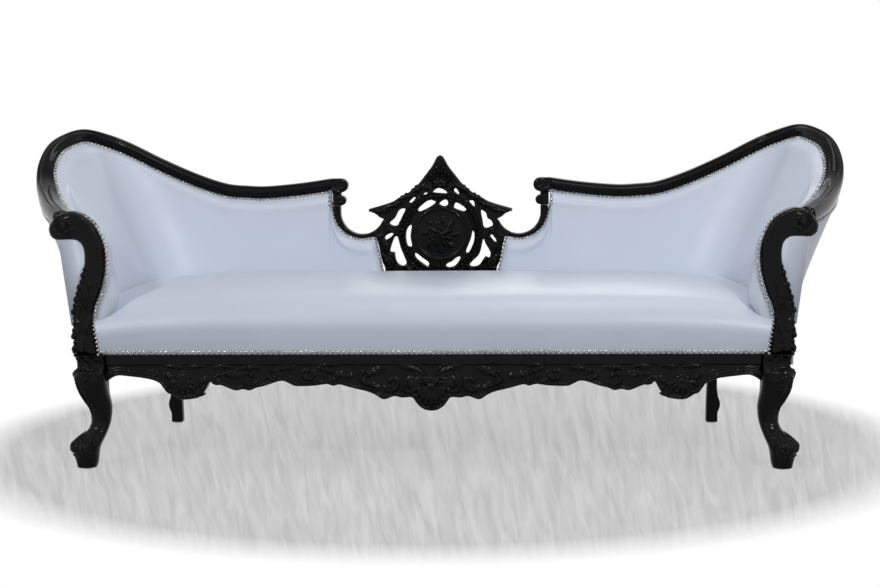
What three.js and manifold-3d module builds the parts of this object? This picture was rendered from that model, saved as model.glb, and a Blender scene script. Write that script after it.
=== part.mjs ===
// Double-ended carved settee: dipped back with raised ears, pierced crest, leather upholstery.
// Millimetres, +Z up, +X to the right, the sitter faces -Y.
// Origin: on the floor, midway between the ears and midway between the toes and the rear legs' backs.

import * as THREE from 'three';
import { mergeVertices } from 'three/addons/utils/BufferGeometryUtils.js';
import Module from 'manifold-3d';

const wasm = await Module();
wasm.setup();

// Driving dimensions
const WIDTH = 2212;
const DEPTH = 720;
const EAR_HEIGHT = 867;
const ARM_HEIGHT = 666;
const CREST_HEIGHT = 786;
const DIP_HEIGHT = 699;
const SEAT_HEIGHT = 468;
const LEG_HEIGHT = 297;

// Clearances
const GAP = 0.3;
const WELD = 0.03;
const MERGE = 0.001;
const OVERRUN = 60;

// Seat frame
const TOE_REACH = 40;
const EAR_OVERHANG = 268;
const RAIL_THICK = 45;
const RAIL_BEVEL = 2;
const RAIL_REBATE = 4;
const RAIL_LIP = 15;
const SIDE_RAIL_THICK = 40;
const SIDE_RAIL_HEIGHT = 60;
const APRON_DROP = 148;
const SCROLL_RIB_RADIUS = 7;
const SHELL_RADIUS = 44;
const SHELL_LOBE_RADIUS = 9;
const BLOCK_LENGTH = 90;
const BLOCK_HEIGHT = 48;
const STRETCHER_WIDTH = 45;
const STRETCHER_HEIGHT = 50;
const STRETCHER_SPACING = 560;
const WEB_THICK = 2;
const WEB_WIDTH = 50;
const WEB_LAP = 10;
const WEB_WEAVE = 0.5;
const DECK_THICK = 3;
const DUST_THICK = 2;
const GLIDE_RADIUS = 11;
const GLIDE_HEIGHT = 4;

// Front legs and arm posts
const LEG_REACH = 100;
const LEG_BLOCK = 83;
const POST_SPAN = 146;
const POST_THICK = 46;
const POST_BEVEL = 5;
const SCROLL_SINK = 0.7;
const SCROLL_BOSS_DEPTH = 10;
const SCROLL_BOSS_RADIUS = 21;

// Rear legs, stiles and back frame
const REAR_LEG_WIDTH = 34;
const REAR_LEG_INSET = 53;
const REAR_LEG_RAKE = 20;
const REAR_LEG_DEPTH = 40;
const KNOB_REACH = 7;
const STILE_WIDTH = 36;
const STILE_DEPTH = 28;
const BACK_RAIL_HEIGHT = 45;
const BACK_RAIL_TOP = 430;
const EAR_POST_SIZE = 26;

// Top rails
const TOP_RAIL_WIDTH = 34;
const ARM_RAIL_WIDTH = 50;
const TOP_RAIL_DEPTH = 44;
const TERMINAL_DEPTH = 50;
const TERMINAL_BALL = 20;
const TERMINAL_LOWER_BALL = 14;
const TERMINAL_WIDTH = 34;

// Crest
const CREST_HALF = 208;
const CREST_THICK = 36;
const CREST_BEVEL = 3;
const MEDALLION_HEIGHT = 560;
const MEDALLION_RADIUS = 78;
const MEDALLION_RISE = 13;
const SLOT_RADIUS = 88;
const SLOT_WIDTH = 12;
const ROPE_RADIUS = 108;
const ROPE_THICK = 8;
const CREST_FAN_RADIUS = 34;
const CREST_LOBE_RADIUS = 6;
const CREST_ARM_X = 225;
const CREST_ARM_Z = 622;
const CREST_ARM_RADIUS = 62;
const CREST_ARM_BAND = 11;
const CREST_ARM_THICK = 34;

// Upholstery
const SEAT_PROUD = 13;
const PAD_BASE_THICK = 17;
const INSIDE_INSET = 48;
const PAD_LIFT = 75;
const ARM_WRAP = 60;
const BACK_PAD_DEPTH = 24;
const ARM_PAD_DEPTH = 80;
const PAD_SINK = 6;
const OUTSIDE_THICK = 6;
const OUTSIDE_PROUD = 2;
const OUTSIDE_LAP = 35;
const OUTSIDE_SWELL = 5;
const SEAT_END_DROP = 40;

// Counts of repeated features and of steps along the top rail
const SHELL_LOBES = 7;
const CREST_LOBES = 7;
const LONG_STRAPS = 3;
const CROSS_STRAPS = 7;
const RAIL_STEPS = 34;

// Sizes that follow from the driving dimensions
const halfWidth = WIDTH / 2;
const railFace = -DEPTH / 2 + TOE_REACH;
const rearLegY = DEPTH / 2 - REAR_LEG_DEPTH / 2;
const backRun = rearLegY - REAR_LEG_RAKE - railFace;
const backY = railFace + backRun;
const legInner = halfWidth - EAR_OVERHANG;
const legOuterDatum = legInner + LEG_BLOCK;
const railTop = LEG_HEIGHT + RAIL_LIP;
const railBottom = railTop - RAIL_LIP - SIDE_RAIL_HEIGHT;
const rearLegX = legInner - REAR_LEG_INSET;
const rearStileY = backY - REAR_LEG_RAKE;
const terminalOuter = CREST_ARM_X + CREST_ARM_RADIUS + TERMINAL_WIDTH - GAP - PAD_SINK / 2;
const crestBottom = BACK_RAIL_TOP + GAP;
const crestFront = backY - REAR_LEG_RAKE - CREST_THICK / 2;

// Materials: black lacquer, pale leather, beech, webbing, hessian, dark cloth, steel
const finishes = {
  lacquer: { color: 0x0b0b0c, roughness: 0.18, metalness: 0 },
  leather: { color: 0xd9e0ea, roughness: 0.42, metalness: 0 },
  beech: { color: 0xb98a5a, roughness: 0.7, metalness: 0 },
  webbing: { color: 0x8c7650, roughness: 0.9, metalness: 0 },
  hessian: { color: 0xa58d63, roughness: 0.95, metalness: 0 },
  cloth: { color: 0x1c1c1e, roughness: 0.95, metalness: 0 },
  steel: { color: 0x9a9ca0, roughness: 0.35, metalness: 0.9 },
};

const settee = new THREE.Group();

// Turns a closed geometry into a solid that can be joined and cut.
function solidOf(geometry) {
  const bare = geometry.clone();
  bare.deleteAttribute('normal');
  bare.deleteAttribute('uv');
  const merged = mergeVertices(bare, MERGE);
  const vertProperties = new Float32Array(merged.attributes.position.array);
  const triVerts = new Uint32Array(merged.index.array);
  if (signedVolume(vertProperties, triVerts) < 0) {
    for (let i = 0; i < triVerts.length; i += 3) {
      [triVerts[i], triVerts[i + 1]] = [triVerts[i + 1], triVerts[i]];
    }
  }
  return new wasm.Manifold(new wasm.Mesh({ numProp: 3, vertProperties, triVerts }));
}

// Six times the volume inside a triangle list, negative where its faces point in.
function signedVolume(positions, triangles) {
  let total = 0;
  const corner = [new THREE.Vector3(), new THREE.Vector3(), new THREE.Vector3()];
  for (let i = 0; i < triangles.length; i += 3) {
    corner.forEach((point, k) => point.fromArray(positions, triangles[i + k] * 3));
    total += corner[0].dot(corner[1].clone().cross(corner[2]));
  }
  return total;
}

// Turns a solid back into a geometry, with corners that lie closer together than the weld made one.
function geometryOf(solid) {
  const mesh = solid.getMesh();
  const corners = [];
  const welded = [];
  for (let i = 0; i < mesh.numVert; i += 1) {
    const point = new THREE.Vector3().fromArray(mesh.vertProperties, i * mesh.numProp);
    let match = corners.findIndex((other) => other.distanceTo(point) < WELD);
    if (match < 0) match = corners.push(point) - 1;
    welded.push(match);
  }
  const index = [];
  for (let i = 0; i < mesh.numTri; i += 1) {
    const [a, b, c] = [0, 1, 2].map((k) => welded[mesh.triVerts[i * 3 + k]]);
    if (a !== b && b !== c && c !== a) index.push(a, b, c);
  }
  const geometry = new THREE.BufferGeometry().setFromPoints(corners);
  geometry.setIndex(index);
  geometry.computeVertexNormals();
  return geometry;
}

function mirrored(solid) {
  return solid.mirror([1, 0, 0]);
}

function addPart(name, solid, finish) {
  const material = new THREE.MeshStandardMaterial(finishes[finish]);
  const mesh = new THREE.Mesh(geometryOf(solid), material);
  mesh.name = name;
  settee.add(mesh);
}

// Adds a piece made for the right side, and its mirror image on the left.
function addPair(name, solid, finish) {
  addPart(`right_${name}`, solid, finish);
  addPart(`left_${name}`, mirrored(solid), finish);
}

// Closed solid through a row of rings that all have the same number of points.
function loft(rings) {
  const positions = [];
  const index = [];
  const count = rings[0].length;
  rings.forEach((ring) => ring.forEach((point) => positions.push(point.x, point.y, point.z)));
  for (let i = 0; i + 1 < rings.length; i += 1) {
    for (let k = 0; k < count; k += 1) {
      const next = (k + 1) % count;
      const a = i * count + k;
      const b = i * count + next;
      const c = a + count;
      const d = b + count;
      index.push(a, b, d, a, d, c);
    }
  }
  const addCap = (ring, first, flip) => {
    const middle = ring.reduce((sum, point) => sum.add(point), new THREE.Vector3());
    middle.divideScalar(count);
    positions.push(middle.x, middle.y, middle.z);
    const centre = positions.length / 3 - 1;
    for (let k = 0; k < count; k += 1) {
      const next = first + ((k + 1) % count);
      if (flip) index.push(centre, next, first + k);
      else index.push(centre, first + k, next);
    }
  };
  addCap(rings[0], 0, true);
  addCap(rings[rings.length - 1], (rings.length - 1) * count, false);
  const geometry = new THREE.BufferGeometry();
  geometry.setAttribute('position', new THREE.Float32BufferAttribute(positions, 3));
  geometry.setIndex(index);
  return solidOf(geometry);
}

// Plate whose front outline is drawn in X and Z, from yFront back to yFront + thick.
// A grown plate is larger all round, to cut room for the real one out of a neighbour.
function plate(shape, yFront, thick, bevel, segments, grow = 0) {
  const geometry = new THREE.ExtrudeGeometry(shape, {
    depth: thick + 2 * grow - 2 * bevel,
    bevelEnabled: bevel > 0,
    bevelThickness: bevel,
    bevelSize: bevel,
    bevelOffset: grow - bevel,
    bevelSegments: 1,
    curveSegments: segments,
  });
  geometry.rotateX(Math.PI / 2);
  geometry.translate(0, yFront + thick + grow - bevel, 0);
  return solidOf(geometry);
}

// The largest body of a cut piece, without the slivers that a cut can leave.
function largest(solid) {
  const bodies = solid.decompose();
  return bodies.reduce((best, body) => (body.volume() > best.volume() ? body : best));
}

// Upright prism whose plan outline is drawn in X and Y.
function prism(corners, zLow, zHigh) {
  const shape = new THREE.Shape(corners.map(([x, y]) => new THREE.Vector2(x, y)));
  const geometry = new THREE.ExtrudeGeometry(shape, { depth: zHigh - zLow, bevelEnabled: false });
  geometry.translate(0, 0, zLow);
  return solidOf(geometry);
}

function block(low, high) {
  return prism([[low[0], low[1]], [high[0], low[1]], [high[0], high[1]], [low[0], high[1]]], low[2], high[2]);
}

// Ring in a level plane: a rounded square from x0 to x1 and from y0 to y1.
function roundedRing(x0, x1, y0, y1, z, squareness, sides) {
  const ring = [];
  for (let k = 0; k < sides; k += 1) {
    const angle = (2 * Math.PI * k) / sides;
    const c = Math.cos(angle);
    const s = Math.sin(angle);
    const x = Math.sign(c) * Math.abs(c) ** (2 / squareness);
    const y = Math.sign(s) * Math.abs(s) ** (2 / squareness);
    ring.push(new THREE.Vector3((x0 + x1) / 2 + (x * (x1 - x0)) / 2, (y0 + y1) / 2 + (y * (y1 - y0)) / 2, z));
  }
  return ring;
}

// Angle between two shares of a turn.
function turnBetween([from, to], share) {
  return 2 * Math.PI * (from + (to - from) * share);
}

// Value on a smooth curve through a table's rows, at t from 0 to 1.
function smoothRow(rows, t) {
  const spot = t * (rows.length - 1);
  const i = Math.min(Math.floor(spot), rows.length - 2);
  const u = spot - i;
  const at = (k) => rows[Math.max(0, Math.min(rows.length - 1, k))];
  return rows[i].map((_, c) => {
    const [a, b, d, e] = [at(i - 1)[c], at(i)[c], at(i + 1)[c], at(i + 2)[c]];
    const squared = 2 * a - 5 * b + 4 * d - e;
    const cubed = 3 * b - a - 3 * d + e;
    return (2 * b + (d - a) * u + squared * u ** 2 + cubed * u ** 3) / 2;
  });
}

// Front seat rail: a plain moulded face over a serpentine apron with a central shell drop.
// Rows run from the middle to the right end: share of the rail's half length, share of the apron's drop.
const apronShares = [
  [0, 1], [0.018, 0.985], [0.036, 0.925], [0.048, 0.845], [0.06, 0.765], [0.09, 0.77], [0.113, 0.745],
  [0.146, 0.8], [0.173, 0.715], [0.197, 0.66], [0.227, 0.62], [0.257, 0.575], [0.281, 0.54], [0.3, 0.562],
  [0.322, 0.532], [0.358, 0.56], [0.412, 0.568], [0.432, 0.53], [0.451, 0.48], [0.471, 0.487],
  [0.513, 0.565], [0.537, 0.596], [0.558, 0.642], [0.579, 0.622], [0.603, 0.642], [0.638, 0.565],
  [0.653, 0.534], [0.67, 0.446], [0.683, 0.514], [0.695, 0.635], [0.712, 0.75], [0.728, 0.784],
  [0.758, 0.804], [0.776, 0.79], [0.793, 0.736], [0.821, 0.622], [0.835, 0.52], [0.853, 0.466],
  [0.883, 0.426], [0.931, 0.392], [0.964, 0.378], [0.986, 0.426], [1, 0.486],
];
const apronHalf = legInner - GAP;

function frontRail() {
  const right = apronShares.map(([x, z]) => new THREE.Vector2(x * apronHalf, LEG_HEIGHT - z * APRON_DROP));
  const left = right.slice(1).reverse().map((point) => new THREE.Vector2(-point.x, point.y));
  const shape = new THREE.Shape();
  shape.moveTo(-apronHalf, railTop);
  shape.lineTo(left[0].x, left[0].y);
  shape.splineThru(left.slice(1).concat(right));
  shape.lineTo(apronHalf, railTop);
  shape.closePath();
  const rebate = block(
    [-apronHalf - OVERRUN, railFace - OVERRUN, LEG_HEIGHT - RAIL_REBATE / 2],
    [apronHalf + OVERRUN, railFace + RAIL_REBATE, railTop + OVERRUN],
  );
  return plate(shape, railFace, RAIL_THICK, RAIL_BEVEL, 1).subtract(rebate);
}

// Carved relief on the rail: C-scrolls and leaves, kept as raised ribs.
// Rows: centre as a share of the rail's half length, height as a share of the drop, radius share, turn.
const scrollShares = [
  [0.125, 0.58, 0.17, 0.9], [0.34, 0.37, 0.16, 0.55], [0.545, 0.42, 0.16, 0.35], [0.745, 0.56, 0.19, 0.5],
];
const ribTurnShare = 0.8;
const ribTaperShare = 0.45;

function scrollRib(x, z, radius, turn) {
  class Spiral extends THREE.Curve {
    getPoint(t) {
      const angle = 2 * Math.PI * (turn + ribTurnShare * t);
      const reach = radius * (1 - ribTaperShare * t);
      const across = reach * Math.cos(angle);
      const up = reach * Math.sin(angle);
      return new THREE.Vector3(x + across, railFace - SCROLL_SINK, z + up);
    }
  }
  const section = new THREE.Shape();
  section.absarc(0, 0, SCROLL_RIB_RADIUS, 0, 2 * Math.PI);
  const geometry = new THREE.ExtrudeGeometry(section, {
    steps: 8,
    curveSegments: 3,
    extrudePath: new Spiral(),
  });
  return solidOf(geometry);
}

// Shell drop in the middle: a fan of lobes on the rail's face, spread over these shares of a turn.
const shellTurnShares = [0.04, 0.46];
const shellZ = LEG_HEIGHT - APRON_DROP + SHELL_RADIUS + SHELL_LOBE_RADIUS + GAP;

function shellLobe(angle) {
  const geometry = new THREE.SphereGeometry(1, 7, 5);
  geometry.scale(SHELL_RADIUS / 2, SHELL_LOBE_RADIUS, SHELL_LOBE_RADIUS);
  geometry.translate(SHELL_RADIUS / 2 - SHELL_LOBE_RADIUS / 3, 0, 0);
  geometry.rotateY(-angle);
  geometry.translate(0, railFace - SCROLL_SINK, shellZ);
  return solidOf(geometry);
}

function carvedFrontRail() {
  let rail = frontRail();
  for (const [x, z, radius, turn] of scrollShares) {
    const rib = scrollRib(x * apronHalf, LEG_HEIGHT - z * APRON_DROP, radius * APRON_DROP, turn);
    rail = rail.add(rib).add(mirrored(rib));
  }
  for (let k = 0; k < SHELL_LOBES; k += 1) {
    rail = rail.add(shellLobe(-turnBetween(shellTurnShares, k / (SHELL_LOBES - 1))));
  }
  return rail;
}

addPart('front_seat_rail', carvedFrontRail(), 'lacquer');

// Cabriole front legs, set on the diagonal: knee out, ankle in, scroll toe out.
// Rows: height, inner edge and outer edge, as shares of the leg's height and its reach.
const legShares = [
  [0, 0.3, 0.8], [0.04, 0.26, 0.82], [0.118, 0.23, 0.88], [0.168, 0.2, 0.94], [0.202, 0.17, 0.93],
  [0.242, 0.12, 0.8], [0.286, 0.07, 0.65], [0.337, 0.02, 0.53], [0.387, -0.02, 0.48], [0.455, -0.05, 0.49],
  [0.522, -0.06, 0.52], [0.589, -0.04, 0.61], [0.657, -0.01, 0.7], [0.714, 0, 0.76], [0.768, 0, 0.8],
  [0.815, 0, 0.81], [0.842, 0, 0.83], [0.882, 0, 0.71], [0.926, 0, 0.69], [0.97, 0, 0.75], [1, 0, 0.83],
];
const toeShare = 0.94;
const kneeShare = 0.7;
const kneeSquareness = 5;
const shaftSquareness = 3;

function frontLeg() {
  const rings = legShares.map(([height, inner, outer]) => {
    const x0 = legInner + inner * LEG_REACH;
    const x1 = legInner + outer * LEG_REACH;
    const y0 = -DEPTH / 2 + (toeShare - outer) * LEG_REACH;
    const y1 = -DEPTH / 2 + (toeShare - inner) * LEG_REACH;
    const z = GLIDE_HEIGHT + GAP + height * (LEG_HEIGHT - GLIDE_HEIGHT - GAP);
    return roundedRing(x0, x1, y0, y1, z, height > kneeShare ? kneeSquareness : shaftSquareness, 16);
  });
  return loft(rings);
}

addPair('front_leg', frontLeg(), 'lacquer');
const kneeBack = -DEPTH / 2 + toeShare * LEG_REACH;
const legRoom = block(
  [legInner - GAP, railFace - OVERRUN, GLIDE_HEIGHT],
  [halfWidth, kneeBack + GAP, LEG_HEIGHT + GAP],
);

// Arm posts: S-curved, rolling outwards into a scroll at the top.
// Rows: across the post's span, up its height, as shares.
const postInnerShares = [
  [0.164, 0], [0.175, 0.09], [0.2, 0.16], [0.24, 0.247], [0.2, 0.335], [0.11, 0.42], [0.035, 0.52],
  [0, 0.63], [0.005, 0.72], [0.062, 0.813], [0.19, 0.907], [0.34, 0.962], [0.5, 0.992], [0.61, 1],
  [0.77, 0.985], [0.91, 0.946], [0.985, 0.9],
];
const postOuterShares = [
  [1, 0.875], [0.97, 0.83], [0.87, 0.8], [0.678, 0.8], [0.527, 0.797], [0.425, 0.767], [0.384, 0.713],
  [0.39, 0.631], [0.452, 0.537], [0.548, 0.428], [0.616, 0.32], [0.63, 0.279], [0.596, 0.239],
  [0.62, 0.184], [0.644, 0.143], [0.612, 0.098], [0.63, 0.05], [0.61, 0],
];
const postBase = LEG_HEIGHT + GAP;
const postRise = ARM_HEIGHT - postBase;
const postX = legInner - PAD_SINK - GAP;
const postY = railFace - PAD_SINK;
const acrossScrollShare = 0.71;
const upScrollShare = 0.9;

function armPost(grow) {
  const at = ([x, z]) => new THREE.Vector2(postX + x * POST_SPAN, postBase + z * postRise);
  const shape = new THREE.Shape();
  const start = at(postInnerShares[0]);
  const end = at(postOuterShares[postOuterShares.length - 1]);
  shape.moveTo(start.x, start.y);
  shape.splineThru(postInnerShares.slice(1).concat(postOuterShares.slice(0, -1)).map(at));
  shape.lineTo(end.x, end.y);
  shape.closePath();
  const boss = new THREE.Shape();
  const bossX = postX + acrossScrollShare * POST_SPAN;
  boss.absarc(bossX, postBase + upScrollShare * postRise, SCROLL_BOSS_RADIUS, 0, 2 * Math.PI);
  const button = plate(boss, postY - SCROLL_BOSS_DEPTH, SCROLL_BOSS_DEPTH * 2, POST_BEVEL, 12, grow);
  return plate(shape, postY, POST_THICK, POST_BEVEL, 2, grow).add(button);
}

addPair('arm_post', armPost(0), 'lacquer');
const postRoom = armPost(GAP * 2);

// Foot glides under the four feet.
function glide(x, y) {
  const geometry = new THREE.CylinderGeometry(GLIDE_RADIUS, GLIDE_RADIUS, GLIDE_HEIGHT, 18);
  geometry.rotateX(Math.PI / 2);
  geometry.translate(x, y, GLIDE_HEIGHT / 2);
  return solidOf(geometry);
}

const footShare = (legShares[0][1] + legShares[0][2]) / 2;
const footX = legInner + footShare * LEG_REACH;
const footY = -DEPTH / 2 + (toeShare - footShare) * LEG_REACH;
addPair('front_glide', glide(footX, footY), 'steel');
addPair('rear_glide', glide(rearLegX, rearLegY), 'steel');

// Top rail's centre line on the right: along the back, over the ear, out, forward and down to the arm.
// Back rows: from the terminal to the ear's top, share across, share of the way back, share up.
const backLineShares = [
  [0, 1, 0.123], [0.12, 1, 0.052], [0.263, 1, 0], [0.349, 1, 0.009], [0.442, 1, 0.051],
  [0.561, 1, 0.213], [0.705, 0.995, 0.476], [0.842, 0.969, 0.769], [0.932, 0.93, 0.925], [1, 0.867, 1],
];
// Arm rows: from the ear's top to the arm scroll, share of the ear's sweep, of the way back, of the fall.
const armLineShares = [
  [0.52, 0.781, 0.956], [0.74, 0.687, 0.819], [0.816, 0.61, 0.603], [0.76, 0.535, 0.378],
  [0.58, 0.425, 0.221], [0.335, 0.29, 0.113], [0.1, 0.18, 0.054], [-0.12, 0.085, 0],
];
// Outward direction across the rail at each row, before it is squared to the line.
const railOutShares = [
  [0, 0, 1], [0.03, 0, 1], [0, 0, 1], [-0.05, 0, 1], [-0.15, 0, 1], [-0.4, 0, 0.92], [-0.45, 0, 0.9],
  [-0.38, 0, 0.92], [-0.2, 0, 0.97], [0.1, 0, 1], [0.5, 0, 0.86], [0.86, 0, 0.5], [1, 0, 0.1],
  [1, -0.05, -0.05], [0.95, -0.25, 0.1], [0.87, -0.48, 0.12], [0.86, -0.5, 0.1], [0.9, -0.4, 0.1],
];
// Width across the rail at each row: 0 is the back's width and 1 the arm's.
const railGrowthShares = [
  0, 0, 0, 0, 0, 0, 0, 0.02, 0.05, 0.12, 0.25, 0.5, 0.75, 0.9, 1, 1, 0.95, 0.85,
];
// Section: share of the width from the leather's edge outwards, share of the depth from back to face.
const railSectionShares = [
  [-0.5, 0.28], [-0.36, 0.44], [-0.1, 0.5], [0.2, 0.47], [0.42, 0.3], [0.5, 0.02],
  [0.46, -0.32], [0.3, -0.5], [-0.3, -0.5], [-0.5, -0.34],
];
const earTopShare = 0.35;
const armLineShare = 0.95;
const stepShare = 0.002;

const earTopX = halfWidth - earTopShare * EAR_OVERHANG;
const armLineX = postX + armLineShare * POST_SPAN;
const dipCentre = DIP_HEIGHT - TOP_RAIL_WIDTH / 2;
const earCentre = EAR_HEIGHT - TOP_RAIL_WIDTH / 2;
const armCentre = ARM_HEIGHT - TOP_RAIL_DEPTH / 2;

const railLine = backLineShares
  .map(([x, y, z]) => [
    terminalOuter + x * (earTopX - terminalOuter),
    railFace + y * backRun,
    dipCentre + z * (earCentre - dipCentre),
  ])
  .concat(
    armLineShares.map(([x, y, z]) => [
      armLineX + x * (halfWidth - armLineX),
      railFace + y * backRun,
      armCentre + z * (earCentre - armCentre),
    ]),
  );

// Centre, outward direction, face direction and width of the top rail at t from 0 to 1.
function railFrame(t) {
  const centre = new THREE.Vector3(...smoothRow(railLine, t));
  const before = new THREE.Vector3(...smoothRow(railLine, Math.max(0, t - stepShare)));
  const after = new THREE.Vector3(...smoothRow(railLine, Math.min(1, t + stepShare)));
  const along = after.sub(before).normalize();
  const out = new THREE.Vector3(...smoothRow(railOutShares, t));
  out.addScaledVector(along, -out.dot(along)).normalize();
  const face = new THREE.Vector3().crossVectors(along, out);
  const [growth] = smoothRow(railGrowthShares.map((share) => [share]), t);
  const width = TOP_RAIL_WIDTH + growth * (ARM_RAIL_WIDTH - TOP_RAIL_WIDTH);
  return { centre, along, out, face, width };
}

function topRail(clearance) {
  const rings = [];
  for (let i = 0; i <= RAIL_STEPS; i += 1) {
    const { centre, along, out, face, width } = railFrame(i / RAIL_STEPS);
    if (i === 0) centre.addScaledVector(along, -clearance);
    if (i === RAIL_STEPS) centre.addScaledVector(along, clearance);
    rings.push(
      railSectionShares.map(([o, f]) =>
        centre
          .clone()
          .addScaledVector(out, o * (width + 2 * clearance))
          .addScaledVector(face, f * (TOP_RAIL_DEPTH + 2 * clearance)),
      ),
    );
  }
  return loft(rings);
}

const railRoom = topRail(GAP * 2);

// Terminal scroll at the inner end of each top rail: a rounded block with two carved balls.
const terminalFront = backY - TERMINAL_DEPTH / 2;
const terminalInner = terminalOuter - GAP - TERMINAL_WIDTH;
const terminalTop = dipCentre + backLineShares[0][2] * (earCentre - dipCentre) + TOP_RAIL_WIDTH / 2;
const terminalBottom = CREST_ARM_Z + TERMINAL_LOWER_BALL + PAD_SINK;

function disc(x, z, radius, thick, bevel, grow) {
  const shape = new THREE.Shape();
  shape.absarc(x, z, radius, 0, 2 * Math.PI);
  return plate(shape, backY - thick / 2, thick, bevel, 8, grow);
}

function terminalScroll(grow) {
  const right = terminalOuter - GAP;
  const lowerZ = terminalBottom + TERMINAL_LOWER_BALL;
  const upperZ = terminalTop - TERMINAL_BALL;
  const shape = new THREE.Shape();
  shape.moveTo(terminalInner, terminalBottom);
  shape.lineTo(right - PAD_SINK, terminalBottom);
  shape.lineTo(right - PAD_SINK, upperZ - TERMINAL_BALL / 2);
  shape.lineTo(right, upperZ - TERMINAL_BALL / 2);
  shape.lineTo(right, terminalTop);
  shape.lineTo(terminalInner, terminalTop);
  shape.closePath();
  const body = plate(shape, terminalFront + PAD_SINK / 2, TERMINAL_DEPTH - PAD_SINK, PAD_SINK / 3, 2, grow);
  const upper = disc(terminalInner, upperZ, TERMINAL_BALL, TERMINAL_DEPTH, PAD_SINK, grow);
  const lowerDepth = TERMINAL_DEPTH - PAD_SINK;
  const lower = disc(terminalInner + GAP, lowerZ, TERMINAL_LOWER_BALL, lowerDepth, PAD_SINK, grow);
  return body.add(upper).add(lower);
}

addPair('terminal_scroll', terminalScroll(0), 'lacquer');
addPair('top_rail', largest(topRail(0).subtract(terminalScroll(GAP))), 'lacquer');

// U-shaped arm from the terminal down and round to the crest's side.
const crestArmFront = crestFront + (CREST_THICK - CREST_ARM_THICK) / 2;
const crestArmShift = CREST_ARM_BAND;
const crestArmOuter = CREST_ARM_RADIUS + CREST_ARM_BAND + crestArmShift;

function crestArm(grow) {
  const outerZ = CREST_ARM_Z + crestArmShift;
  const cutX = CREST_HALF - PAD_SINK + GAP;
  const innerEnd = Math.acos((cutX - CREST_ARM_X) / CREST_ARM_RADIUS);
  const outerEnd = Math.acos((cutX - CREST_ARM_X) / crestArmOuter);
  const top = terminalBottom - GAP;
  const shape = new THREE.Shape();
  shape.moveTo(CREST_ARM_X + crestArmOuter, top);
  shape.absarc(CREST_ARM_X, outerZ, crestArmOuter, 0, -outerEnd, true);
  shape.absarc(CREST_ARM_X, CREST_ARM_Z, CREST_ARM_RADIUS, -innerEnd, 0, false);
  shape.lineTo(CREST_ARM_X + CREST_ARM_RADIUS, top);
  shape.closePath();
  return plate(shape, crestArmFront, CREST_ARM_THICK, CREST_BEVEL, 11, grow);
}

addPair('crest_arm', crestArm(0), 'lacquer');

// Crest outline on the right: share of its half width, share of its height.
const crestUpperShares = [
  [0.045, 0.985], [0.12, 0.905], [0.202, 0.843], [0.288, 0.778], [0.385, 0.725], [0.481, 0.683],
  [0.6, 0.643], [0.74, 0.609], [1, 0.565],
];
const crestUnderShares = [[0.93, 0.535], [0.885, 0.52], [0.85, 0.5], [0.784, 0.483]];
const crestSideShares = [[0.896, 0.342], [0.862, 0.27], [0.84, 0.2], [0.81, 0.13], [0.779, 0.09], [0.77, 0]];
// Where the crest's edge follows the U-shaped arm's inside, in shares of a turn.
const crestArcShares = [0.565, 0.605, 0.64, 0.675];
// Ring of slots round the medallion: where each starts and ends, in shares of a full turn.
const slotTurnShares = [
  [0.275, 0.372], [0.214, 0.253], [0.113, 0.168], [0.468, 0.567], [-0.104, 0.008], [0.613, 0.694],
  [0.783, 0.856],
];
// Leaf-shaped openings: place from the medallion's middle, length and width in shares of the half width,
// tilt.
const leafShares = [
  [-0.6, 0.22, 0.33, 0.13, 0.155], [0.64, 0.2, 0.3, 0.12, 0.305], [0.01, 0.6, 0.21, 0.055, 0],
  [-0.385, 0.46, 0.1, 0.055, 0.08], [-0.2, 0.54, 0.07, 0.04, 0.03], [0.235, 0.575, 0.11, 0.05, 0.3],
  [0.46, 0.405, 0.1, 0.07, 0.36], [-0.575, -0.26, 0.44, 0.15, -0.215], [0.565, -0.27, 0.44, 0.15, 0.2],
  [-0.715, -0.05, 0.14, 0.065, 0.1], [0.745, -0.08, 0.15, 0.06, -0.165],
];
const leafSideShare = 0.3;
const leafFullShare = 0.62;
const crestRise = CREST_HEIGHT - crestBottom;

function slotPath(from, to) {
  const low = SLOT_RADIUS - SLOT_WIDTH / 2;
  const high = SLOT_RADIUS + SLOT_WIDTH / 2;
  const path = new THREE.Shape();
  path.absarc(0, MEDALLION_HEIGHT, high, from, to, false);
  path.absarc(0, MEDALLION_HEIGHT, low, to, from, true);
  path.closePath();
  return path;
}

function leafPath(x, z, length, width, tilt) {
  const origin = new THREE.Vector2();
  const at = (along, across) => {
    const point = new THREE.Vector2(along * length, across * width);
    return point.rotateAround(origin, tilt).add(new THREE.Vector2(x, z));
  };
  const [start, end] = [at(-1 / 2, 0), at(1 / 2, 0)];
  const [over, overEnd] = [at(-leafSideShare, leafFullShare), at(leafSideShare, leafFullShare)];
  const [under, underEnd] = [at(leafSideShare, -leafFullShare), at(-leafSideShare, -leafFullShare)];
  const path = new THREE.Shape();
  path.moveTo(start.x, start.y);
  path.bezierCurveTo(over.x, over.y, overEnd.x, overEnd.y, end.x, end.y);
  path.bezierCurveTo(under.x, under.y, underEnd.x, underEnd.y, start.x, start.y);
  return path;
}

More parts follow.
